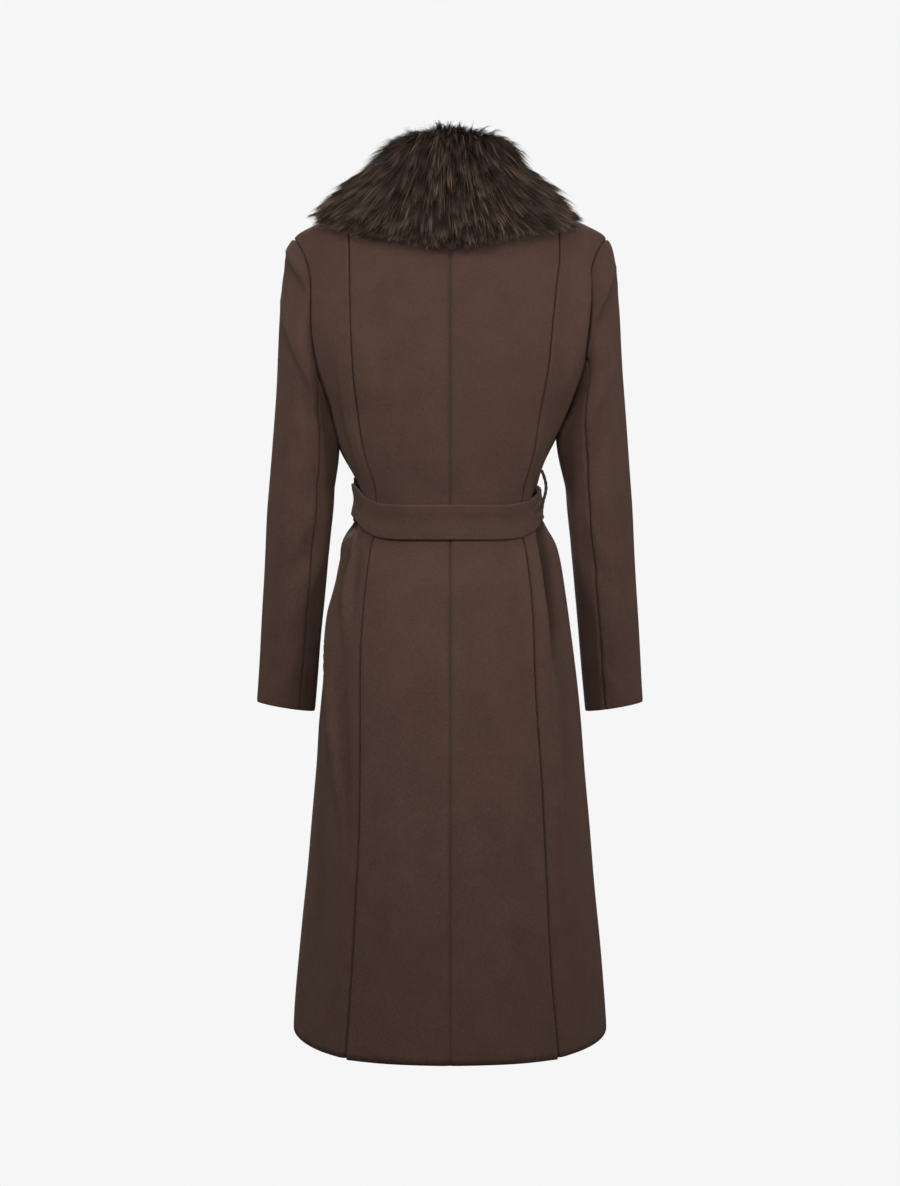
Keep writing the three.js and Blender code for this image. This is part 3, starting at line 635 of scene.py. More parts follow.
def plain_light_material(name, tone):
    """The stage's pale ground: an even glow of one tone."""
    material = bpy.data.materials.new(name)
    material.use_nodes = True
    nodes, links = material.node_tree.nodes, material.node_tree.links
    nodes.clear()
    glow = nodes.new("ShaderNodeEmission")
    glow.inputs["Color"].default_value = (tone, tone, tone, 1.0)
    out = nodes.new("ShaderNodeOutputMaterial")
    links.new(glow.outputs["Emission"], out.inputs["Surface"])
    return material


def shared(name, make):
    """A material made once and used by every piece of the same cloth."""
    return bpy.data.materials.get(name) or make()


def wool():
    settings = bpy.context.scene.coat_cloth
    return shared("felted_wool", lambda: wool_material(settings))


# Body panels

YOKE = -60
HEM_ZONE = -985
ARM_TOP_SHARE = 1 / 3  # of the armhole's angle, above the yoke height
HEM_ROWS, SKIRT_ROWS, ARM_ROWS, YOKE_ROWS = 9, 118, 27, 17
SEAM_COLUMNS = np.array([0, 0.5, 1.1, 1.9, 3.1, 4.9, 7.4])  # millimetres from a seam
MIDDLE_START = 11  # millimetres from a seam to the first of the even columns


def hem_height(turn, step=0.0):
    cos = np.cos(turn)
    behind = lerp(HEM_SIDE, HEM_BACK, np.minimum(1, 1.35 * np.abs(cos) ** 1.2))
    before = lerp(HEM_SIDE, HEM_FRONT, cos ** 2)
    return np.where(cos > 0, behind, before) + step


def level_rows():
    """Heights of the level rows, from the hem zone up to the yoke height."""
    skirt = np.linspace(HEM_ZONE, -ARMHOLE_DEPTH, SKIRT_ROWS)[:-1]
    angle = np.linspace(math.pi, math.pi * ARM_TOP_SHARE, ARM_ROWS)
    return np.concatenate([skirt, armhole_height(angle)])


def edge_columns(count, width):
    """Column places from 0 to 1, crowded within a few millimetres of both seams."""
    near = SEAM_COLUMNS / width
    middle = np.linspace(MIDDLE_START / width, 1 - MIDDLE_START / width, count)
    return np.concatenate([near, middle, 1 - near[::-1]])


# A border is two functions: the turn by height, up to the yoke, and the turn and
# height by the share of the way from the yoke to the border's top.

def shoulder_border(turn, top):
    """A border that ends on the shoulder line, where the turn is 90 degrees."""
    def yoke(t):
        z = lerp(YOKE, top, np.sin(t * math.pi / 2))
        return np.where(t >= 1, math.pi / 2, turn(z)), z
    return turn, yoke


def princess_border(side):
    column = 1 if side == "left" else 2

    def turn(z):
        followed = z - 0.8 * WAIST_DIP * waist_weight(z)
        return turn_at(read_column(PRINCESS, column, followed), np.minimum(z, NECK_HEIGHT))
    return shoulder_border(turn, PRINCESS_TOP[side])


def centre_border():
    def yoke(t):
        return 0.0 * t, lerp(YOKE, NECK_HEIGHT, t)
    return (lambda z: 0.0 * z), yoke


def side_border(sign):
    reach = ARMHOLE_BACK if sign > 0 else ARMHOLE_FRONT

    def turn(z):
        cos = np.clip((z + ARMHOLE_DEPTH / 2) / (ARMHOLE_DEPTH / 2), -1, 1)
        y = np.where(z < -ARMHOLE_DEPTH, 0.0, reach * np.sqrt(1 - cos ** 2))
        return turn_at_depth(sign * y, z)

    def yoke(t):
        z = armhole_height((1 - t) * math.pi * ARM_TOP_SHARE)
        return turn(z), z
    return turn, yoke


def front_border():
    def turn(z):
        return turn_at(-read_column(FRONT_EDGE, 1, z), z, behind=False)
    return shoulder_border(turn, NECK_HEIGHT)


def panel_chart(columns, border_a, border_b, top_path, step_a=0.0):
    """Turn and height of each grid point of a panel. Level rows lie between the
    borders in even parts. The hem rows turn to the hem's curve, and the yoke rows
    blend from the last level row to the shoulder path, moved to keep the borders."""
    u = columns[None, :]
    turn_a, yoke_a = border_a
    turn_b, yoke_b = border_b
    between = lambda z: lerp(turn_a(z), turn_b(z), u)
    hem_rows = np.linspace(0, 1, HEM_ROWS)[:-1, None]
    z_hem = lerp(hem_height(between(np.full((1, 1), float(HEM_ZONE))), step_a), HEM_ZONE, hem_rows)
    hem = np.stack([between(z_hem), z_hem])
    z_level = level_rows()[:, None] + 0 * u
    level = np.stack([between(z_level), z_level])
    t = np.linspace(0, 1, YOKE_ROWS)[1:]
    first, last = level[:, -1, 0], level[:, -1, -1]
    path = np.stack(top_path(columns))
    a_path, b_path = np.stack(yoke_a(t)), np.stack(yoke_b(t))
    a_ends, b_ends = np.stack(yoke_a(np.array([0.0, 1.0]))), np.stack(yoke_b(np.array([0.0, 1.0])))
    yoke = []
    for key in (0, 1):
        share_b = (b_path[key] - b_ends[key][0]) / (b_ends[key][1] - b_ends[key][0])
        change = a_ends[key][1] - a_ends[key][0]
        share_a = (a_path[key] - a_ends[key][0]) / change if abs(change) > 0.02 else share_b
        moved = lerp(share_a[:, None], share_b[:, None], u)
        off_a = a_path[key][:, None] - lerp(first[key], path[key][0], moved)
        off_b = b_path[key][:, None] - lerp(last[key], path[key][-1], moved)
        yoke.append(lerp(level[key][-1][None, :], path[key][None, :], moved) + lerp(off_a, off_b, u))
    return np.concatenate([hem, level, np.stack(yoke)], axis=1)


# A seam's section, in millimetres from the join: the reach of the painted shade along
# the join, the reach of the dip, and the ridge's middle, reach and share of the dip.
SEAM_SHADE_REACH = 1.05
SEAM_DIP = 1.25
SEAM_RIDGE = (6.5, 3.2, 0.2)


def seam_relief(columns, width, dip, seams=(1, 1)):
    """A seam's section: it sinks at the join, with a faint pressed ridge beside it.
    Seams holds the strength of the first and last column's seam."""
    middle, reach, share = SEAM_RIDGE
    relief = np.zeros(len(columns))
    for distance, strength in ((columns * width, seams[0]), ((1 - columns) * width, seams[1])):
        relief -= strength * dip * np.exp(-(distance / SEAM_DIP) ** 2)
        relief += strength * share * dip * np.exp(-((distance - middle) / reach) ** 2)
    return relief


def seam_painted_shade(columns, width, rows, seams=(1, 1)):
    """Painted shade at a seam's join: how close each point of a wall's outer and inner grid is to it.
    """
    near = [strength * np.exp(-(distance / SEAM_SHADE_REACH) ** 2) for distance, strength in
            ((columns * width, seams[0]), ((1 - columns) * width, seams[1]))]
    return np.tile(np.clip(near[0] + near[1], 0, 1), 2 * rows)


# The under front lies further in where the over front covers it: the gap between
# them, and where that fades out, by distance from the centre line and by height.
UNDER_GAP = 1.3
UNDER_BESIDE = (82, 118)
UNDER_BELOW = (-205, -140)


def make_panel(name, chart, columns, width, sign, seams, under):
    settings = bpy.context.scene.coat_cloth
    turn, z = chart
    smooth_points = smooth_body(turn, z)
    mirror_by = np.array([sign, 1.0, 1.0])
    placed = smooth_points * mirror_by
    folds = settings.crease * crease_rise(CREASES, placed)
    rise = folds + ripple(placed, 1.0)
    rise += seam_relief(columns, width, settings.seam_dip, seams)[None, :]
    if under:
        covered = (1 - smooth(*UNDER_BESIDE, smooth_points[..., 0])) * (1 - smooth(*UNDER_BELOW, z))
        rise -= (settings.wall + UNDER_GAP) * covered
    normal = body_normal(turn, z)
    hem_roll = np.exp(-np.arange(len(z)) / 1.5)[:, None] * 0.5
    outer = smooth_points + normal * (rise - hem_roll)[..., None]
    inner = smooth_points + normal * (rise - settings.wall + hem_roll)[..., None]
    # Painted shade: the seams' joins and the bottoms of deep folds, stored in the seam attribute that
    # darkens the wool's colour.
    line = fold_shade(seam_painted_shade(columns, width, len(z), seams), folds)
    obj = wall_mesh(f"cloth_{name}", outer * mirror_by, inner * mirror_by, wool(), {"seam": line})
    return finish_piece(obj, "wool_cloth", name)


# Grids of the panels: columns between the crowded ones at the seams, and the width
# in millimetres by which the seams' sections are placed.
PANEL_GRIDS = {
    "back": (24, 120),
    "side_back": (22, 110),
    "front": (46, 250),
    "top_sleeve": (56, 230),
    "under_sleeve": (26, 110),
}


NECK_SHARE = 5 / 9  # of the back panel's top row lies along the neck


def make_body():
    for side, sign in SIDES:
        princess, top = princess_border(side), PRINCESS_TOP[side]

        def back_top(u):
            on_neck = np.minimum(u / NECK_SHARE, 1)
            on_shoulder = np.clip((u - NECK_SHARE) / (1 - NECK_SHARE), 0, 1)
            return math.pi / 2 * on_neck, lerp(NECK_HEIGHT, top, on_shoulder)

        side_top = lambda u: (math.pi / 2 + 0 * u, lerp(top, 0, u))
        front_top = lambda u: (math.pi / 2 + 0 * u, lerp(0, NECK_HEIGHT, u))
        panels = (
            # kind, first and last border, top path, step at the hem, seams' strengths
            ("back", centre_border(), princess, back_top, 0.0, (0.5, 0.9)),
            ("side_back", princess, side_border(1), side_top, 1.8, (1, 0.45)),
            ("front", side_border(-1), front_border(), front_top, 0.0, (0.45, 0)),
        )
        for kind, first, last, top_path, hem_step, seams in panels:
            count, width = PANEL_GRIDS[kind]
            columns = edge_columns(count, width)
            chart = panel_chart(columns, first, last, top_path, hem_step)
            under = kind == "front" and side == "left"
            piece = make_panel(f"{kind}_{side}", chart, columns, width, sign, seams, under)


# Sleeves

CAP_END = SLEEVE_RINGS[0, 0]
CAP_SHARE = 7 / 18


def sleeve_ring(angle, z):
    """A sleeve ring: an ellipse whose middle and half widths follow the table."""
    middle, forward, across, deep = (read_column(SLEEVE_RINGS, k, z) for k in (1, 2, 3, 4))
    x = middle + across * np.cos(angle)
    return np.stack([x, deep * np.sin(angle) - forward, z + 0 * x], axis=-1)


def sleeve_point(angle, along):
    """The sleeve's outer face: over the cap a cubic Bezier from the armhole to the
    first ring, and below it the rings down to the slanted cuff."""
    cos, sin = np.cos(angle), np.sin(angle)
    outside = (1 + cos) / 2
    cuff = CUFF_HEIGHT + CUFF_SLANT * cos
    on_arm = np.clip((along - CAP_SHARE) / (1 - CAP_SHARE), 0, 1)
    arm = sleeve_ring(angle, lerp(CAP_END, cuff, on_arm))
    turn, z = armhole(angle)
    start = smooth_body(turn, z)
    start[..., 0] += lerp(0.9, 0.1, outside)
    start[..., 2] += lerp(0.8, 0, outside)
    end = sleeve_ring(angle, CAP_END + 0 * angle)
    upward = unit(end - sleeve_ring(angle, CAP_END - 20 + 0 * angle))
    leave = start.copy()
    leave[..., 0] += lerp(5, 19, outside)
    leave[..., 1] += 7 * sin
    leave[..., 2] -= 14 * np.abs(sin) * outside + 1
    arrive = end + upward * lerp(8, 132, outside ** 1.15)[..., None]
    t = np.clip(along / CAP_SHARE, 0, 1)[..., None]
    return np.where((along > CAP_SHARE)[..., None], arm, bezier(start, leave, arrive, end, t))


def sleeve_normal(angle, along):
    around = sleeve_point(angle + 0.01, along) - sleeve_point(angle - 0.01, along)
    start = np.maximum(along - 0.004, 0)
    down = sleeve_point(angle, start + 0.008) - sleeve_point(angle, start)
    return unit(np.cross(down, around))


ALLOWANCE = ((3.6, 7), (3.2, 0.5))  # its two rows: down from the seam, and inwards


def with_allowance(rows, angle):
    """Adds two rows before the armhole seam: the cloth steps down under the body
    panel's edge and runs a few millimetres inwards, as a seam allowance does."""
    down = body_normal(*armhole(angle))
    inwards = np.array([1.0, 0, 0])
    added = [rows[0] - down * depth - inwards * reach for depth, reach in ALLOWANCE]
    return np.concatenate([np.stack(added), rows])


def make_sleeve_piece(name, start, end, grid, sign):
    settings = bpy.context.scene.coat_cloth
    count, width = grid
    columns = edge_columns(count, width)
    cap = np.linspace(0, CAP_SHARE, 46)[:-1]
    near_cuff = 1 - np.array([0.012, 0.006, 0.0025, 0.0])
    arm = np.concatenate([np.linspace(CAP_SHARE, 0.98, 62), near_cuff])
    along, u = np.meshgrid(np.concatenate([cap, arm]), columns, indexing="ij")
    angle = lerp(math.radians(start), math.radians(end), u)
    points = sleeve_point(angle, along)
    normal = sleeve_normal(angle, along)
    mirror_by = np.array([sign, 1.0, 1.0])
    placed = points * mirror_by
    fade = smooth(0.0, 0.05, along)
    rise = (settings.crease * crease_rise(SLEEVE_CREASES, placed) + ripple(placed, 2.3)) * fade
    rise += seam_relief(columns, width, settings.seam_dip)[None, :]
    rise -= 0.4 * settings.seam_dip * np.exp(-(along / 0.006) ** 2)
    edge_roll = 0.5 * np.exp(-((1 - along) / 0.003) ** 2)
    outer = points + normal * (rise - edge_roll)[..., None]
    inner = points + normal * (rise - settings.wall + edge_roll)[..., None]
    outer, inner = with_allowance(outer, angle[0]), with_allowance(inner, angle[0])
    # Painted shade in the wool's colour at the seams' joins, and along the whole armhole seam.
    line = seam_painted_shade(columns, width, len(outer)).reshape(2, len(outer), -1)
    line[:, :3] = 1.0  # the armhole seam
    obj = wall_mesh(f"cloth_{name}", outer * mirror_by, inner * mirror_by, wool(),
                    {"seam": line.ravel()})
    return finish_piece(obj, "wool_cloth", name)


def make_sleeves():
    for side, sign in SIDES:
        elbow = ELBOW_SEAM[side]
        for kind, start, end in (("top_sleeve", SLEEVE_FRONT_SEAM, elbow),
                                 ("under_sleeve", elbow, SLEEVE_FRONT_SEAM + 360)):
            piece = make_sleeve_piece(f"{kind}_{side}", start, end, PANEL_GRIDS[kind], sign)


# Fur collar

PELT_RISE = -13.0  # the pelt's crest lies this far under the fur's
PELT_LEAN = -5.0
PELT_BULGE = 0.42  # of the fur's own bulge
PELT_LIP = 0.3
PELT_EDGE = 9.0  # the pelt ends this far above the fur's edge
INSIDE_SHARE = 0.3  # of the section, from the neck seam up to the crest
SHOULDER_SHIFT = 0.04  # over the shoulders the collar sits to the wearer's left
SHOULDER_NARROW = 0.035  # and is narrower


def collar_face(place, q, pelt):
    """A point of the collar. Place runs from -1 to 1 along it, q from 0 at the neck
    seam over the crest to 1 at the edge. The inner part is a bowed line, the outer
    part a cubic Bezier. Pelt is 0 on the fur's outside and 1 on the skin."""
    size = np.abs(place)
    side = np.where(place < 0, -1.0, 1.0)
    pelt = np.asarray(pelt, float) + 0 * q
    (neck_turn, neck_z, edge_turn, edge_z, rise, lean, crest_out, crest_drop,
     edge_out, edge_rise, lip) = (read_rows(COLLAR, k, size) for k in range(11))
    neck_turn, edge_turn = np.radians(neck_turn), np.radians(edge_turn)
    edge_z = edge_z + PELT_EDGE * pelt
    neck_normal = body_normal(neck_turn, neck_z)
    out = unit(neck_normal * np.array([1, 1, 0]))
    edge_normal = body_normal(edge_turn, edge_z)
    neck = smooth_body(neck_turn, neck_z) + neck_normal * (NECK_LIFT + 2 * pelt)[..., None]
    edge_height = EDGE_LIFT + lip * lerp(1, PELT_LIP, pelt)
    edge = smooth_body(edge_turn, edge_z) + edge_normal * edge_height[..., None]
    share = np.clip(rise / 30, 0.35, 1)
    crest = neck + out * (np.maximum(lean + PELT_LEAN * pelt * lean / 15, 4))[..., None]
    up = np.array([0, 0, 1.0])
    crest = crest + up * (rise + PELT_RISE * pelt * share)[..., None]
    bulge = lerp(1, PELT_BULGE, pelt)[..., None]
    leave = crest + (out * crest_out[..., None]) * bulge - up * crest_drop[..., None]
    arrive = edge + (edge_normal * edge_out[..., None]) * bulge + up * edge_rise[..., None]
    t = np.clip((q - INSIDE_SHARE) / (1 - INSIDE_SHARE), 0, None)[..., None]
    face = bezier(crest, leave, arrive, edge, np.minimum(t, 1))
    past = unit(edge - arrive) * 0.35 + np.array([0, 0, -0.65]) + edge_normal * 0.25
    face = face + past * (np.maximum(t - 1, 0) * 190)
    s = np.clip(q / INSIDE_SHARE, 0, 1)[..., None]
    bow = out * (-5 * np.sin(np.pi * s) * np.minimum(rise / 40, 1)[..., None])
    inside = lerp(neck, crest, s) + bow
    point = np.where(q[..., None] < INSIDE_SHARE, inside, face)
    point[..., 0] = side * np.maximum(point[..., 0], np.minimum(size * 60, 0.7))
    over_shoulder = smooth(112, 84, point[..., 2]) * smooth(-10, 26, point[..., 2])
    point[..., 0] *= 1 + (SHOULDER_SHIFT * side - SHOULDER_NARROW) * over_shoulder
    return point


def make_pelt():
    """The skin of the collar: a thin wall from the neck seam over the crest to the edge."""
    settings = bpy.context.scene.coat_fur
    place, q = np.meshgrid(np.linspace(-1, 1, 201), np.linspace(0, 1, 44), indexing="ij")
    outer = collar_face(place, q, 1.0)
    around = np.gradient(outer, axis=0)
    down = np.gradient(outer, axis=1)
    normal = unit(np.cross(down, around))
    middle = outer.mean(axis=(0, 1))
    if np.einsum("ijk,ijk->ij", normal, outer - middle).mean() < 0:
        normal = -normal
    inner = outer - normal * settings.skin
    material = shared("underfur", lambda: underfur_material(settings))
    obj = wall_mesh("fur_collar_skin", outer, inner, material)
    finish_piece(obj, "fur", "fur_collar")


def sample_roots(rng, count, low, high):
    """Random places on the collar between two values of place, spread evenly over
    its area: cells are drawn with a chance equal to their share of the surface."""
    places, rows = np.linspace(low, high, 121), np.linspace(0.02, 0.995, 61)
    place, q = np.meshgrid(places, rows, indexing="ij")
    points = collar_face(place, q, 0.5)
    edge_a = points[1:, :-1] - points[:-1, :-1]
    edge_b = points[:-1, 1:] - points[:-1, :-1]
    area = np.linalg.norm(np.cross(edge_a, edge_b), axis=-1).ravel()
    cell = rng.choice(len(area), size=count, p=area / area.sum())
    i, j = np.divmod(cell, len(rows) - 1)
    shift = rng.random((2, count))
    return (places[i] + shift[0] * (places[1] - places[0]),
            rows[j] + shift[1] * (rows[1] - rows[0]))


def section_length(place):
    """The length of the section over the crest at each place, in millimetres."""
    known = np.linspace(0, 1, 41)
    place_grid, q = np.meshgrid(known, np.linspace(0, 1, 40), indexing="ij")
    points = collar_face(place_grid, q, 0.3)
    lengths = np.linalg.norm(np.diff(points, axis=1), axis=-1).sum(axis=1)
    return np.interp(np.abs(place), known, lengths)


HAIR_STEPS = 4
LOCKS_ALONG = 210
LOCKS_ACROSS = 32
USUAL_LENGTH = 265  # of a section in millimetres, for which LOCKS_ACROSS holds
LOCK_KINDS = 4001  # rows of the table that the locks' numbers come from
GUARD_SHARE = 0.12  # of the hairs are longer and thicker guard hairs
RIBBON_TAPER = np.array([0.9, 1.0, 0.75])
RIBBON_ALONG = np.array([0, 0, 0.38, 0.38, 0.72, 0.72, 1.0])


def find_locks(place, q, length):
    """Locks: cells of the surface with waved borders. Gives the six numbers that a
    hair shares with its lock, and its lock's middle, kept close to the hair."""
    warp = 0.35 * np.sin(9 * q + 14 * place) + 0.3 * np.sin(23 * place + 5 * q)
    column = np.floor(place * LOCKS_ALONG / 2 + warp).astype(int)
    stagger = 0.6 * np.sin(31 * place) + 0.5 * (column % 2)
    row = np.floor(q * LOCKS_ACROSS * length / USUAL_LENGTH + stagger).astype(int)
    table = np.random.default_rng(7).random((LOCK_KINDS, 6))
    lock = table[np.abs(column * 7919 + row * 104729) % LOCK_KINDS]
    lock_place = (column + lock[:, 0]) * 2 / LOCKS_ALONG
    lock_q = (row + lock[:, 1] - 0.5 * (column % 2)) * USUAL_LENGTH / (LOCKS_ACROSS * length)
    return (lock, np.clip(lock_place, place - 0.02, place + 0.02),
            np.clip(lock_q, q - 0.05, q + 0.05))


def hair_lines(place, q, tip_place, tip_q, tip_out, stand, phase):
    """Points of each hair from root to tip, read from the collar's own surface, with
    the directions along it and across it. Hair near the crest stands up, by its own
    share, and each hair waves sideways from its own phase."""
    fractions = np.linspace(0, 1, HAIR_STEPS)
    points = np.stack([
        collar_face(lerp(place, tip_place, f), lerp(q, tip_q, f ** 1.25),
                    1 - tip_out * (1 - (1 - f) ** 1.7)) for f in fractions])
    size = np.abs(place)
    near_crest = np.exp(-((q - INSIDE_SHARE - 0.02) / 0.075) ** 2) * (1 - smooth(0.28, 0.5, size))
    lifted = near_crest * lerp(1.0, 9.0, stand ** 1.6)
    points[..., 2] += fractions[:, None] ** 1.3 * lifted
    points[..., 0] += np.sign(place) * fractions[:, None] * lifted * 0.7 * smooth(0.0, 0.2, size)
    wave = 1.1 * np.sin(fractions * 3.1 + phase[:, None] * 6.3).T
    outward = unit(collar_face(place, q, 0.0) - collar_face(place, q, 1.0))
    tangent = unit(np.gradient(points, axis=0))
    across = unit(np.cross(tangent, outward[None]))
    return points + across * (wave * fractions[:, None])[..., None], tangent, across


def ribbons(points, across, half_width):
    """Flat tapered ribbons: two points beside each of a hair's steps and one at its tip."""
    count = points.shape[1]
    body = points[:-1]
    offset = across[:-1] * (half_width[None] * RIBBON_TAPER[:, None])[..., None]
    pairs = np.stack([body - offset, body + offset], axis=2)
    vertices = np.concatenate([
        pairs.transpose(1, 0, 2, 3).reshape(count, -1, 3), points[-1][:, None, :]], axis=1)
    quads = np.array([(0, 1, 3, 2), (2, 3, 5, 4)])
    triangles = np.concatenate([quads[:, :3], quads[:, [0, 2, 3]], np.array([(4, 5, 6)])])
    start = (np.arange(count) * vertices.shape[1])[:, None, None]
    return vertices.reshape(-1, 3), (triangles[None] + start).reshape(-1, 3)


def make_hair(name, seed, low, high, count):
    """Each hair starts on the skin, leans down the collar and ends near the fur's
    outside, drawn to the middle of its lock."""
    settings = bpy.context.scene.coat_fur
    rng = np.random.default_rng(seed)
    place, q = sample_roots(rng, count, low, high)
    length = section_length(place)
    lock, lock_place, lock_q = find_locks(place, q, length)
    own = rng.random((5, count))
    guard = own[0] < GUARD_SHARE
    reach = settings.reach * lerp(0.75, 1.3, lock[:, 2]) * lerp(0.8, 1.15, own[1])
    reach = np.where(guard, reach * 1.22, reach)
    drawn = lerp(0.5, 0.92, own[2])
    spread = 0.010 * (lock[:, 3] - 0.5) + 0.004 * rng.standard_normal(count)
    size = np.abs(place)
    fan = settings.fan * np.sign(place) * smooth(0.0, 0.13, size) * (1 - smooth(0.32, 0.6, size))
    fan = fan * lerp(0.55, 1.25, own[3]) * (1 - 0.5 * smooth(0.45, 0.9, q))
    tip_place = lerp(place, lock_place, drawn) + spread + fan
    tip_q = lerp(q, lock_q, drawn) + reach / length
    over = tip_q - 1
    tip_q = np.where(over > 0, 1 + settings.overhang * over, tip_q)
    tip_out = lerp(0.5, 0.97, own[3] ** 0.7) * (0.74 + 0.95 * lock[:, 4] ** 5)
    tip_out = np.where(guard, tip_out + lerp(0.1, 0.42, own[1]), tip_out)
    points, tangent, across = hair_lines(place, q, tip_place, tip_q, tip_out, own[3], own[4])
    tilt = rng.uniform(-0.7, 0.7, count)[None, :, None]
    across = unit(across * np.cos(tilt) + np.cross(tangent, across) * np.sin(tilt))
    half_width = settings.hair_width / 2 * np.where(guard, 1.5, lerp(0.7, 1.1, own[1]))
    vertices, faces = ribbons(points, across, half_width)
    shade = np.clip(0.3 * lock[:, 5] + 0.7 * own[1] + 0.1 * guard, 0, 1)
    material = shared("fur_hair", lambda: hair_material(settings))
    obj = new_mesh(name, vertices, faces, material, {
        "along": np.tile(RIBBON_ALONG, count), "shade": np.repeat(shade, len(RIBBON_ALONG))})
    return finish_piece(obj, "fur")


HAIR_PIECES = (
    # name, from, to, share of the hairs
    ("fur_back_left", 0.0, 0.17, 0.20),
    ("fur_shoulder_left", 0.17, 0.42, 0.19),
    ("fur_front_left", 0.42, 0.995, 0.12),
    ("fur_back_right", -0.17, 0.0, 0.20),
    ("fur_shoulder_right", -0.42, -0.17, 0.19),
    ("fur_front_right", -0.995, -0.42, 0.12),
)


def make_fur():
    settings = bpy.context.scene.coat_fur
    total = settings.hairs
    for number, (name, low, high, share) in enumerate(HAIR_PIECES):
        make_hair(name, settings.seed + number, low, high, int(total * share))


# Belt, knot, tails and loops

BELT_CREASES = (
    # slope, height beside the right loop, rise
    (0.55, -10, 4.6),
    (0.1, -1, -4.2),
    (-0.25, 7, 4.8),
    (-0.6, 15, -3.4),
)


def belt_crumple(turn, h):
    """The belt's unevenness: slow waves, creases that fan out beside the right loop,
    and one ridge beside the left."""
    wave = 0.5 * np.sin(5 * turn + 0.6) + 0.3 * np.sin(11 * turn + 0.05 * h)
    beside = turn - math.radians(-66)
    fade = np.exp(-(beside / 0.2) ** 2)
    creases = 0.0
    for slope, start, rise in BELT_CREASES:
        line = h - start - slope * (beside * 95)
        creases = creases + rise * fade * np.exp(-(line / 3.4) ** 2)
    left = 3.2 * np.exp(-((turn - math.radians(60)) / 0.07) ** 2)
    return wave + creases + left


def make_belt():
    """The belt's section carried round the waist: a flat band with rounded edges."""
    stations = 440
    turn = np.linspace(-math.pi, math.pi, stations, endpoint=False)
    half = BELT_HEIGHT / 2
    h_out = half * np.sin(np.linspace(-math.pi / 2, math.pi / 2, 21))
    h_in = h_out[1:-1][::-1]
    heights = np.concatenate([h_out, h_in])
    edge = np.sqrt(np.clip(1 - (np.abs(h_out) / half) ** 8, 0, 1))
    thick_out = BELT_LIFT + BELT_THICK * lerp(0.45, 1.0, edge)
    stitch = 0.5 * (np.exp(-((np.abs(h_out) - 19) / 0.9) ** 2))
    lift = np.concatenate([thick_out - stitch, np.full(len(h_in), BELT_LIFT)])
    on_outside = np.concatenate([np.ones(len(h_out)), np.zeros(len(h_in))])
    turn_grid, h = np.meshgrid(turn, heights, indexing="ij")
    # Near the right loop the belt is drawn in, lower and narrower
    squeeze = np.exp(-((turn_grid - math.radians(-88)) / 0.3) ** 2)
    left = np.exp(-((turn_grid - math.radians(88)) / 0.25) ** 2)
    total = lift[None, :] + belt_crumple(turn_grid, h) * on_outside[None, :] * 0.9
    total += 3.5 * left - 4 * squeeze
    z = WAIST + h * (1 - 0.2 * squeeze) - 4 * squeeze
    point = smooth_body(turn_grid, z) + body_normal(turn_grid, z) * total[..., None]
    obj = swept_mesh("cloth_belt", point, wool(), loop=True)
    return finish_piece(obj, "wool_cloth", "belt")


def belt_front():
    """How far the belt reaches in front, where the knot lies on it."""
    height = np.array([-0.5, 0, 0.5]) * BELT_HEIGHT
    lift = BELT_LIFT + BELT_THICK - np.array([1.2, 0, 1.2])
    z = WAIST + height
    point = smooth_body(math.pi + 0 * z, z) + body_normal(math.pi + 0 * z, z) * lift[:, None]
    return point[:, 1].min()


def make_knot():
    """A pulled half knot: a rounded lozenge whose front has three slanted folds."""
    t, s = np.meshgrid(np.linspace(0, 1, 60), np.linspace(0, 1, 72, endpoint=False), indexing="ij")
    swell = np.sqrt(1 - (0.86 * (2 * t - 1)) ** 2)
    half_width = KNOT_WIDTH / 2 * lerp(0.62, 1, swell)
    depth = KNOT_DEPTH * lerp(0.35, 1, swell)
    angle = 2 * math.pi * s
    x = half_width * signed_power(np.cos(angle), 0.75)
    y = depth / 2 * signed_power(np.sin(angle), 0.75) + (KNOT_DEPTH - depth) / 2
    z = WAIST + KNOT_HEIGHT * (t - 0.5)
    front = np.clip(-np.sin(angle), 0, 1)
    slant = (z - WAIST) * 0.95 + x * 0.5
    folds = 1.9 * np.sin(slant * 0.31) - 1.1 * np.exp(-((x - 0.3 * (z - WAIST)) / 5) ** 2)
    y = belt_front() - 0.4 - KNOT_DEPTH / 2 + y - front * (folds - 1.2)
    obj = swept_mesh("cloth_belt_knot", np.stack([x, y, z], axis=-1), wool())
    return finish_piece(obj, "wool_cloth", "belt_knot")


TAILS = (
    # name, x at the knot, x at the end, length, how far it lies over the other
    ("belt_tail_left", 11.5, 52, 392, 6.8),
    ("belt_tail_right", -11.5, -38, 431, 0.0),
)


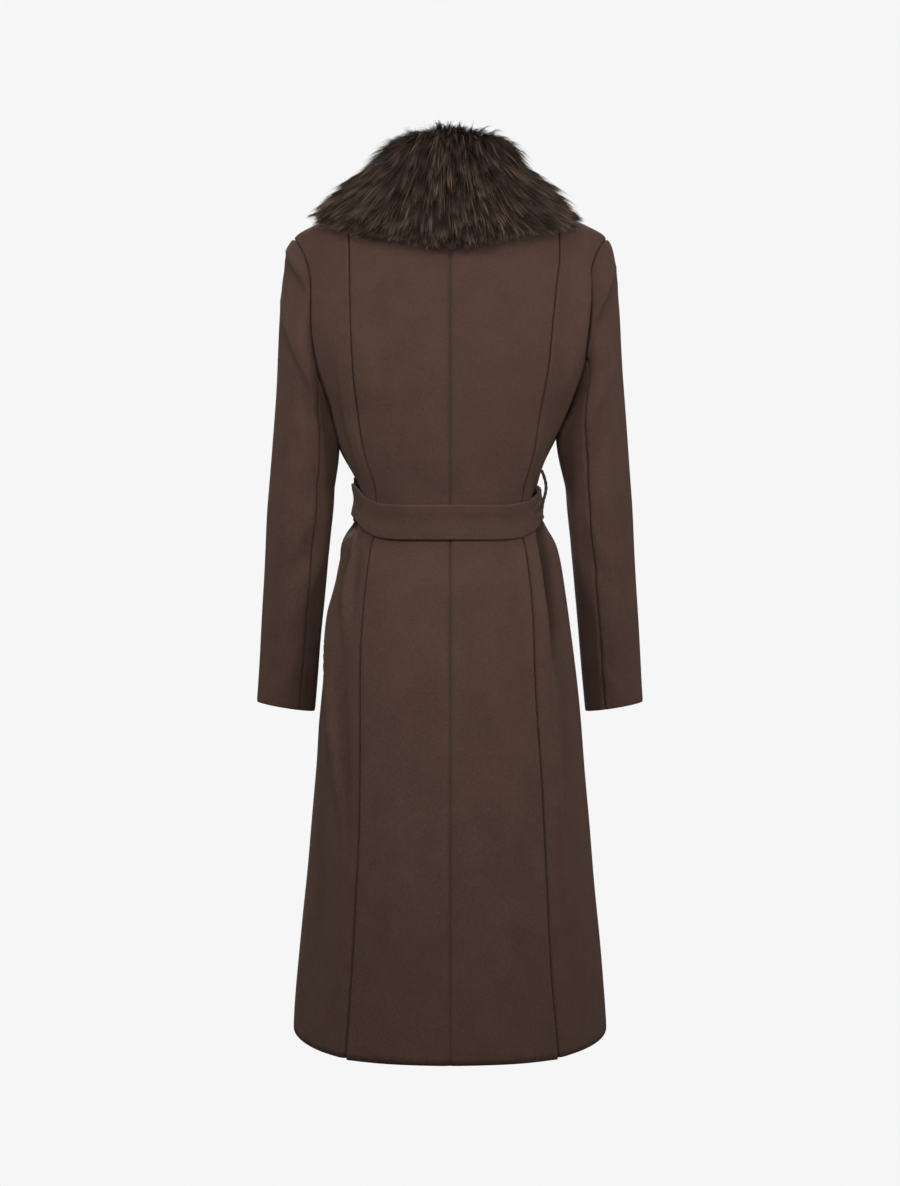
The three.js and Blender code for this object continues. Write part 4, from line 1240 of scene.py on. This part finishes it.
def make_tails():
    """Each tail is a strip between the knot and its free end. Its lift over the skirt
    falls from the knot's depth to a light touch, with a few slow waves."""
    for name, x_top, x_end, length, over in TAILS:
        near = np.array([0, 0.03, 0.07, 0.13])
        columns = np.concatenate([near, np.linspace(0.2, 0.8, 12), 1 - near[::-1]])
        t, u = np.meshgrid(np.linspace(0, 1, 120), columns, indexing="ij")
        half_width = lerp(10, BELT_HEIGHT / 2, smooth(0, 0.16, t))
        x = lerp(x_top, x_end, t ** 0.85) + half_width * (2 * u - 1)
        top = WAIST - KNOT_HEIGHT / 2 - 0.4 - 0.075 * (10 + over + BELT_THICK)
        z = top - length * t
        hang = lerp(10, 1.6, smooth(0, 0.1, t)) + 1.6 * np.sin(9 * t) ** 2 * t
        lift = hang + over * (1 - smooth(0.38, 0.62, t))
        pinch = 2.2 * (1 - smooth(0.02, 0.22, t)) * np.sin(3 * math.pi * u)
        edge = np.minimum(u, 1 - u) * BELT_HEIGHT
        stitch = 0.45 * np.exp(-((edge - 4) / 0.9) ** 2)
        round_edge = 1.1 * np.exp(-(edge / 1.2) ** 2)
        turn = turn_at(x, z, behind=False)
        outer = body_point(turn, z, lift + BELT_THICK + pinch - stitch - round_edge)
        inner = body_point(turn, z, lift + pinch * 0.6 + 0.4 * round_edge)
        obj = wall_mesh(f"cloth_{name}", outer, inner, wool())
        finish_piece(obj, "wool_cloth", name)


LOOP_RADIUS = 2.2
LOOPS = (
    # side, sign, turn, how far it stands out, reach above the belt's middle and below
    ("left", 1, 96, -2.5, 30, -29),
    ("right", -1, 84, 7.0, 36, -27),
)


def make_loops():
    """Thread cords: a two-ply section, turned along a route over the belt."""
    material = shared("twisted_thread", cord_material)
    for side, sign, turn, stand, reach_up, reach_down in LOOPS:
        t = np.linspace(0, 1, 90)
        h = lerp(reach_up, reach_down, t)
        over_belt = np.maximum(np.sin(math.pi * t), 0) ** 0.7
        clear = (LOOP_RADIUS + BELT_LIFT + BELT_THICK + stand) * over_belt
        path = body_point(np.full(len(t), sign * math.radians(turn)), WAIST + h, clear)
        tangent = unit(np.gradient(path, axis=0))
        first = unit(np.cross(np.array([0, 1.0, 0]), tangent))
        second = np.cross(tangent, first)
        s = np.linspace(0, 2 * math.pi, 16, endpoint=False)[None, :]
        twist = 30 * t[:, None]
        radius = LOOP_RADIUS * (0.78 + 0.22 * np.abs(np.cos(s + twist)))
        ring = (first[:, None] * (radius * np.cos(s))[..., None]
                + second[:, None] * (radius * np.sin(s))[..., None])
        ply = np.concatenate([np.abs(np.cos(s + twist)).ravel(), [0.5, 0.5]])
        obj = swept_mesh(f"thread_loop_{side}", path[:, None] + ring, material,
                         attributes={"ply": ply})
        finish_piece(obj, "loop_cord", f"belt_loop_{side}")


# Stage

LIGHTS = (
    # name, place, aim, size, share of the stage's power
    ("key", (0.0, 2.2, 1.0), (0.0, 0.0, -0.35), (1.1, 1.1), 0.33),
    ("near", (0.0, 1.4, -0.15), (0.0, 0.0, -0.3), (0.8, 0.6), 0.08),
    ("side_left", (1.45, 1.1, 0.35), (0.1, 0.0, -0.3), (0.5, 0.5), 0.21),
    ("side_right", (-1.45, 1.1, 0.05), (-0.1, 0.0, -0.4), (0.5, 0.7), 0.22),
    ("front_soft", (0.3, -2.6, 1.1), (0.0, 0.0, -0.35), (1.6, 1.6), 1.2),
    ("top", (0.0, 0.3, 2.4), (0.0, 0.0, -0.35), (1.6, 1.6), 0.12),
)
SENSOR_HEIGHT = 36.0
FLOOR_RADIUS = 9.0
FLOOR_SIDES = 96


def add_area_light(name, place, aim, size, power):
    data = bpy.data.lights.new(name, "AREA")
    data.shape = "RECTANGLE"
    data.size, data.size_y = size
    data.energy = power
    light = bpy.data.objects.new(name, data)
    bpy.context.scene.collection.objects.link(light)
    light.location = place
    light.rotation_euler = direction_turn(np.array(place) - np.array(aim))
    light.visible_camera = False


def direction_turn(away):
    """The Euler turn that makes an object's own +Z point along a direction."""
    x, y, z = away / np.linalg.norm(away)
    return (math.acos(max(-1.0, min(1.0, z))), 0.0, math.atan2(y, x) + math.pi / 2)


def add_camera(settings):
    """A camera behind the coat, level and centred, that looks at the origin's plane."""
    scene = bpy.context.scene
    data = bpy.data.cameras.new("camera")
    camera = bpy.data.objects.new("camera", data)
    scene.collection.objects.link(camera)
    camera.location = (0.0, settings.distance, settings.eye_height)
    camera.rotation_euler = (math.pi / 2, 0.0, math.pi)
    data.sensor_fit = "VERTICAL"
    data.sensor_height = SENSOR_HEIGHT
    data.lens = SENSOR_HEIGHT * settings.distance / settings.frame_height
    data.clip_end = 60.0
    scene.camera = camera


def add_world(tone, soft):
    """The camera sees one pale tone. The coat is lit by a soft one that grows with
    the height of the direction it comes from."""
    world = bpy.data.worlds.new("studio")
    bpy.context.scene.world = world
    world.use_nodes = True
    nodes, links = world.node_tree.nodes, world.node_tree.links
    seen = nodes["Background"]
    seen.inputs["Color"].default_value = (tone, tone, tone, 1.0)
    lit = nodes.new("ShaderNodeBackground")
    around = nodes.new("ShaderNodeTexCoord")
    split = nodes.new("ShaderNodeSeparateXYZ")
    height = nodes.new("ShaderNodeMapRange")
    for key, value in (("From Min", -1.0), ("From Max", 1.0), ("To Min", soft * 0.3),
                       ("To Max", soft * 1.7)):
        height.inputs[key].default_value = value
    links.new(around.outputs["Generated"], split.inputs["Vector"])
    links.new(split.outputs["Z"], height.inputs["Value"])
    links.new(height.outputs["Result"], lit.inputs["Color"])
    ray = nodes.new("ShaderNodeLightPath")
    blend = nodes.new("ShaderNodeMixShader")
    links.new(ray.outputs["Is Camera Ray"], blend.inputs["Fac"])
    links.new(lit.outputs["Background"], blend.inputs[1])
    links.new(seen.outputs["Background"], blend.inputs[2])
    links.new(blend.outputs["Shader"], nodes["World Output"].inputs["Surface"])


def add_floor(height, tone):
    """A disc under the hanging coat, in the backdrop's tone, that throws no light."""
    angle = np.linspace(0, 2 * math.pi, FLOOR_SIDES, endpoint=False)
    rim = np.stack([FLOOR_RADIUS * np.cos(angle), FLOOR_RADIUS * np.sin(angle), 0 * angle], axis=-1)
    points = (np.concatenate([np.zeros((1, 3)), rim]) + np.array([0, 0, height])) / MM
    ring = np.arange(1, FLOOR_SIDES + 1)
    faces = np.stack([np.zeros(FLOOR_SIDES, int), ring, np.roll(ring, -1)], axis=-1)
    floor = new_mesh("floor", points, faces, plain_light_material("pale_ground", tone))
    floor.visible_diffuse = False
    floor.visible_glossy = False


def make_stage():
    settings = bpy.context.scene.coat_stage
    bpy.context.scene.view_settings.view_transform = "Standard"
    add_camera(settings)
    add_world(settings.ground, settings.ambient)
    add_floor(settings.floor, settings.ground)
    for name, place, aim, size, share in LIGHTS:
        add_area_light(name, place, aim, size, settings.key_power * share)


# Settings, operators and panel

class ClothSettings(bpy.types.PropertyGroup):
    wall: FloatProperty(name="Wall", description="Thickness of the wool cloth in millimetres",
                        default=2.4, min=1.0, max=4.0)
    seam_dip: FloatProperty(name="Seam dip", description="How deep a seam sinks, in millimetres",
                            default=3.0, min=0.0, max=5.0)
    # Strength of the painted shade at seam joins and fold bottoms.
    seam_shade: FloatProperty(name="Seam shade", description="How dark the join of a seam is",
                              default=0.48, min=0.0, max=1.0, subtype="FACTOR")
    # Painted shade at the bottom of a deep fold, against that of a seam's join.
    fold_shade: FloatProperty(name="Fold shade", default=1.1, min=0.0, max=2.0,
                              description="How dark the bottom of a fold is, next to a seam")
    crease: FloatProperty(name="Crease depth", description="Factor on the height of all creases",
                          default=1.5, min=0.0, max=3.0)
    nap: FloatProperty(name="Nap", description="Weight of the wool's soft sheen",
                       default=0.09, min=0.0, max=1.0, subtype="FACTOR")
    cloth_colour: FloatVectorProperty(name="Wool", description="Lit colour of the wool",
                                      default=(0.053, 0.0290, 0.0215), min=0, max=1, subtype="COLOR")
    shadow_colour: FloatVectorProperty(name="Wool between fibres",
                                       description="Colour between the wool's fibres",
                                       default=(0.028, 0.0145, 0.0105), min=0, max=1, subtype="COLOR")


class FurSettings(bpy.types.PropertyGroup):
    hairs: IntProperty(name="Hairs", description="Number of hairs on the collar",
                       default=118000, min=1000, max=190000)
    seed: IntProperty(name="Seed", description="Seed of the hairs' places", default=11)
    reach: FloatProperty(name="Reach", description="How far a hair runs down the collar, in mm",
                         default=27.0, min=5.0, max=60.0)
    fan: FloatProperty(name="Fan", description="How far the hair turns outwards at the back",
                       default=0.036, min=0.0, max=0.2)
    overhang: FloatProperty(name="Overhang", default=0.12, min=0.0, max=1.0,
                            description="How far the hair reaches past the skin's edge")
    hair_width: FloatProperty(name="Hair width", description="Width of one ribbon, in millimetres",
                              default=0.50, min=0.1, max=2.0)
    skin: FloatProperty(name="Skin", description="Thickness of the pelt, in millimetres",
                        default=3.0, min=1.0, max=6.0)
    root_colour: FloatVectorProperty(name="Root", description="Colour of the hair's root",
                                     default=(0.0105, 0.0060, 0.0042), min=0, max=1, subtype="COLOR")
    fur_colour: FloatVectorProperty(name="Fur", description="Colour of the hair's middle",
                                    default=(0.035, 0.0222, 0.0160), min=0, max=1, subtype="COLOR")
    tip_colour: FloatVectorProperty(name="Tip", description="Colour of the hair's tip",
                                    default=(0.100, 0.0705, 0.0535), min=0, max=1, subtype="COLOR")


class StageSettings(bpy.types.PropertyGroup):
    distance: FloatProperty(name="Distance", description="Camera distance", default=2.6,
                            min=1.0, max=10.0, unit="LENGTH")
    eye_height: FloatProperty(name="Eye height", description="Camera height", default=-0.4695,
                              min=-3.0, max=3.0, unit="LENGTH")
    frame_height: FloatProperty(name="Frame height", description="Height seen at the coat",
                                default=1.577, min=0.5, max=5.0, unit="LENGTH")
    floor: FloatProperty(name="Floor", description="Height of the floor under the hanging coat",
                         default=-1.62, min=-5.0, max=-1.1, unit="LENGTH")
    ground: FloatProperty(name="Ground tone", description="Tone of the floor and the backdrop",
                          default=0.922, min=0.0, max=1.0, subtype="FACTOR")
    key_power: FloatProperty(name="Key light", description="Power of the main light in watts",
                             default=108.0, min=0.0, max=2000.0)
    ambient: FloatProperty(name="Ambient tone", description="Tone of the light from all around",
                           default=0.15, min=0.0, max=1.0, subtype="FACTOR")


class COAT_OT_stage(bpy.types.Operator):
    """Camera, pale floor, backdrop tone and soft lights"""
    bl_idname = "coat.stage"
    bl_label = "Stage"

    def execute(self, context):
        make_stage()
        return {"FINISHED"}


class COAT_OT_body(bpy.types.Operator):
    """Back, side back and front panels of the wool body"""
    bl_idname = "coat.body"
    bl_label = "Body panels"

    def execute(self, context):
        make_body()
        return {"FINISHED"}


class COAT_OT_sleeves(bpy.types.Operator):
    """Two-piece set-in sleeves"""
    bl_idname = "coat.sleeves"
    bl_label = "Sleeves"

    def execute(self, context):
        make_sleeves()
        return {"FINISHED"}


class COAT_OT_pelt(bpy.types.Operator):
    """Skin of the fur collar"""
    bl_idname = "coat.pelt"
    bl_label = "Collar skin"

    def execute(self, context):
        make_pelt()
        return {"FINISHED"}


class COAT_OT_fur(bpy.types.Operator):
    """Hair of the fur collar"""
    bl_idname = "coat.fur"
    bl_label = "Fur"

    def execute(self, context):
        make_fur()
        return {"FINISHED"}


class COAT_OT_belt(bpy.types.Operator):
    """Belt with its knot and hanging ends"""
    bl_idname = "coat.belt"
    bl_label = "Belt"

    def execute(self, context):
        belt, knot = make_belt(), make_knot()
        make_tails()
        return {"FINISHED"}


class COAT_OT_loops(bpy.types.Operator):
    """Thread belt loops at the side seams"""
    bl_idname = "coat.loops"
    bl_label = "Belt loops"

    def execute(self, context):
        make_loops()
        return {"FINISHED"}


class COAT_PT_panel(bpy.types.Panel):
    """Lists the coat's settings and pieces"""
    bl_label = "Fur-collar coat"
    bl_idname = "COAT_PT_panel"
    bl_space_type = "VIEW_3D"
    bl_region_type = "UI"
    bl_category = "Coat"

    def draw(self, context):
        layout = self.layout
        for group in (context.scene.coat_cloth, context.scene.coat_fur, context.scene.coat_stage):
            box = layout.box()
            for key in group.__annotations__:
                box.prop(group, key)
        for operator in OPERATORS:
            layout.operator(operator.bl_idname)


GROUPS = (("coat_cloth", ClothSettings), ("coat_fur", FurSettings), ("coat_stage", StageSettings))
OPERATORS = (COAT_OT_stage, COAT_OT_body, COAT_OT_sleeves, COAT_OT_belt, COAT_OT_loops,
             COAT_OT_pelt, COAT_OT_fur)


def register():
    for name, group in GROUPS:
        bpy.utils.register_class(group)
        setattr(bpy.types.Scene, name, PointerProperty(type=group))
    for operator in OPERATORS:
        bpy.utils.register_class(operator)
    bpy.utils.register_class(COAT_PT_panel)


def unregister():
    bpy.utils.unregister_class(COAT_PT_panel)
    for operator in reversed(OPERATORS):
        bpy.utils.unregister_class(operator)
    for name, group in reversed(GROUPS):
        delattr(bpy.types.Scene, name)
        bpy.utils.unregister_class(group)


def main():
    register()
    bpy.ops.coat.stage()
    bpy.ops.coat.body()
    bpy.ops.coat.sleeves()
    bpy.ops.coat.belt()
    bpy.ops.coat.loops()
    bpy.ops.coat.pelt()
    bpy.ops.coat.fur()


if __name__ == "__main__":
    main()
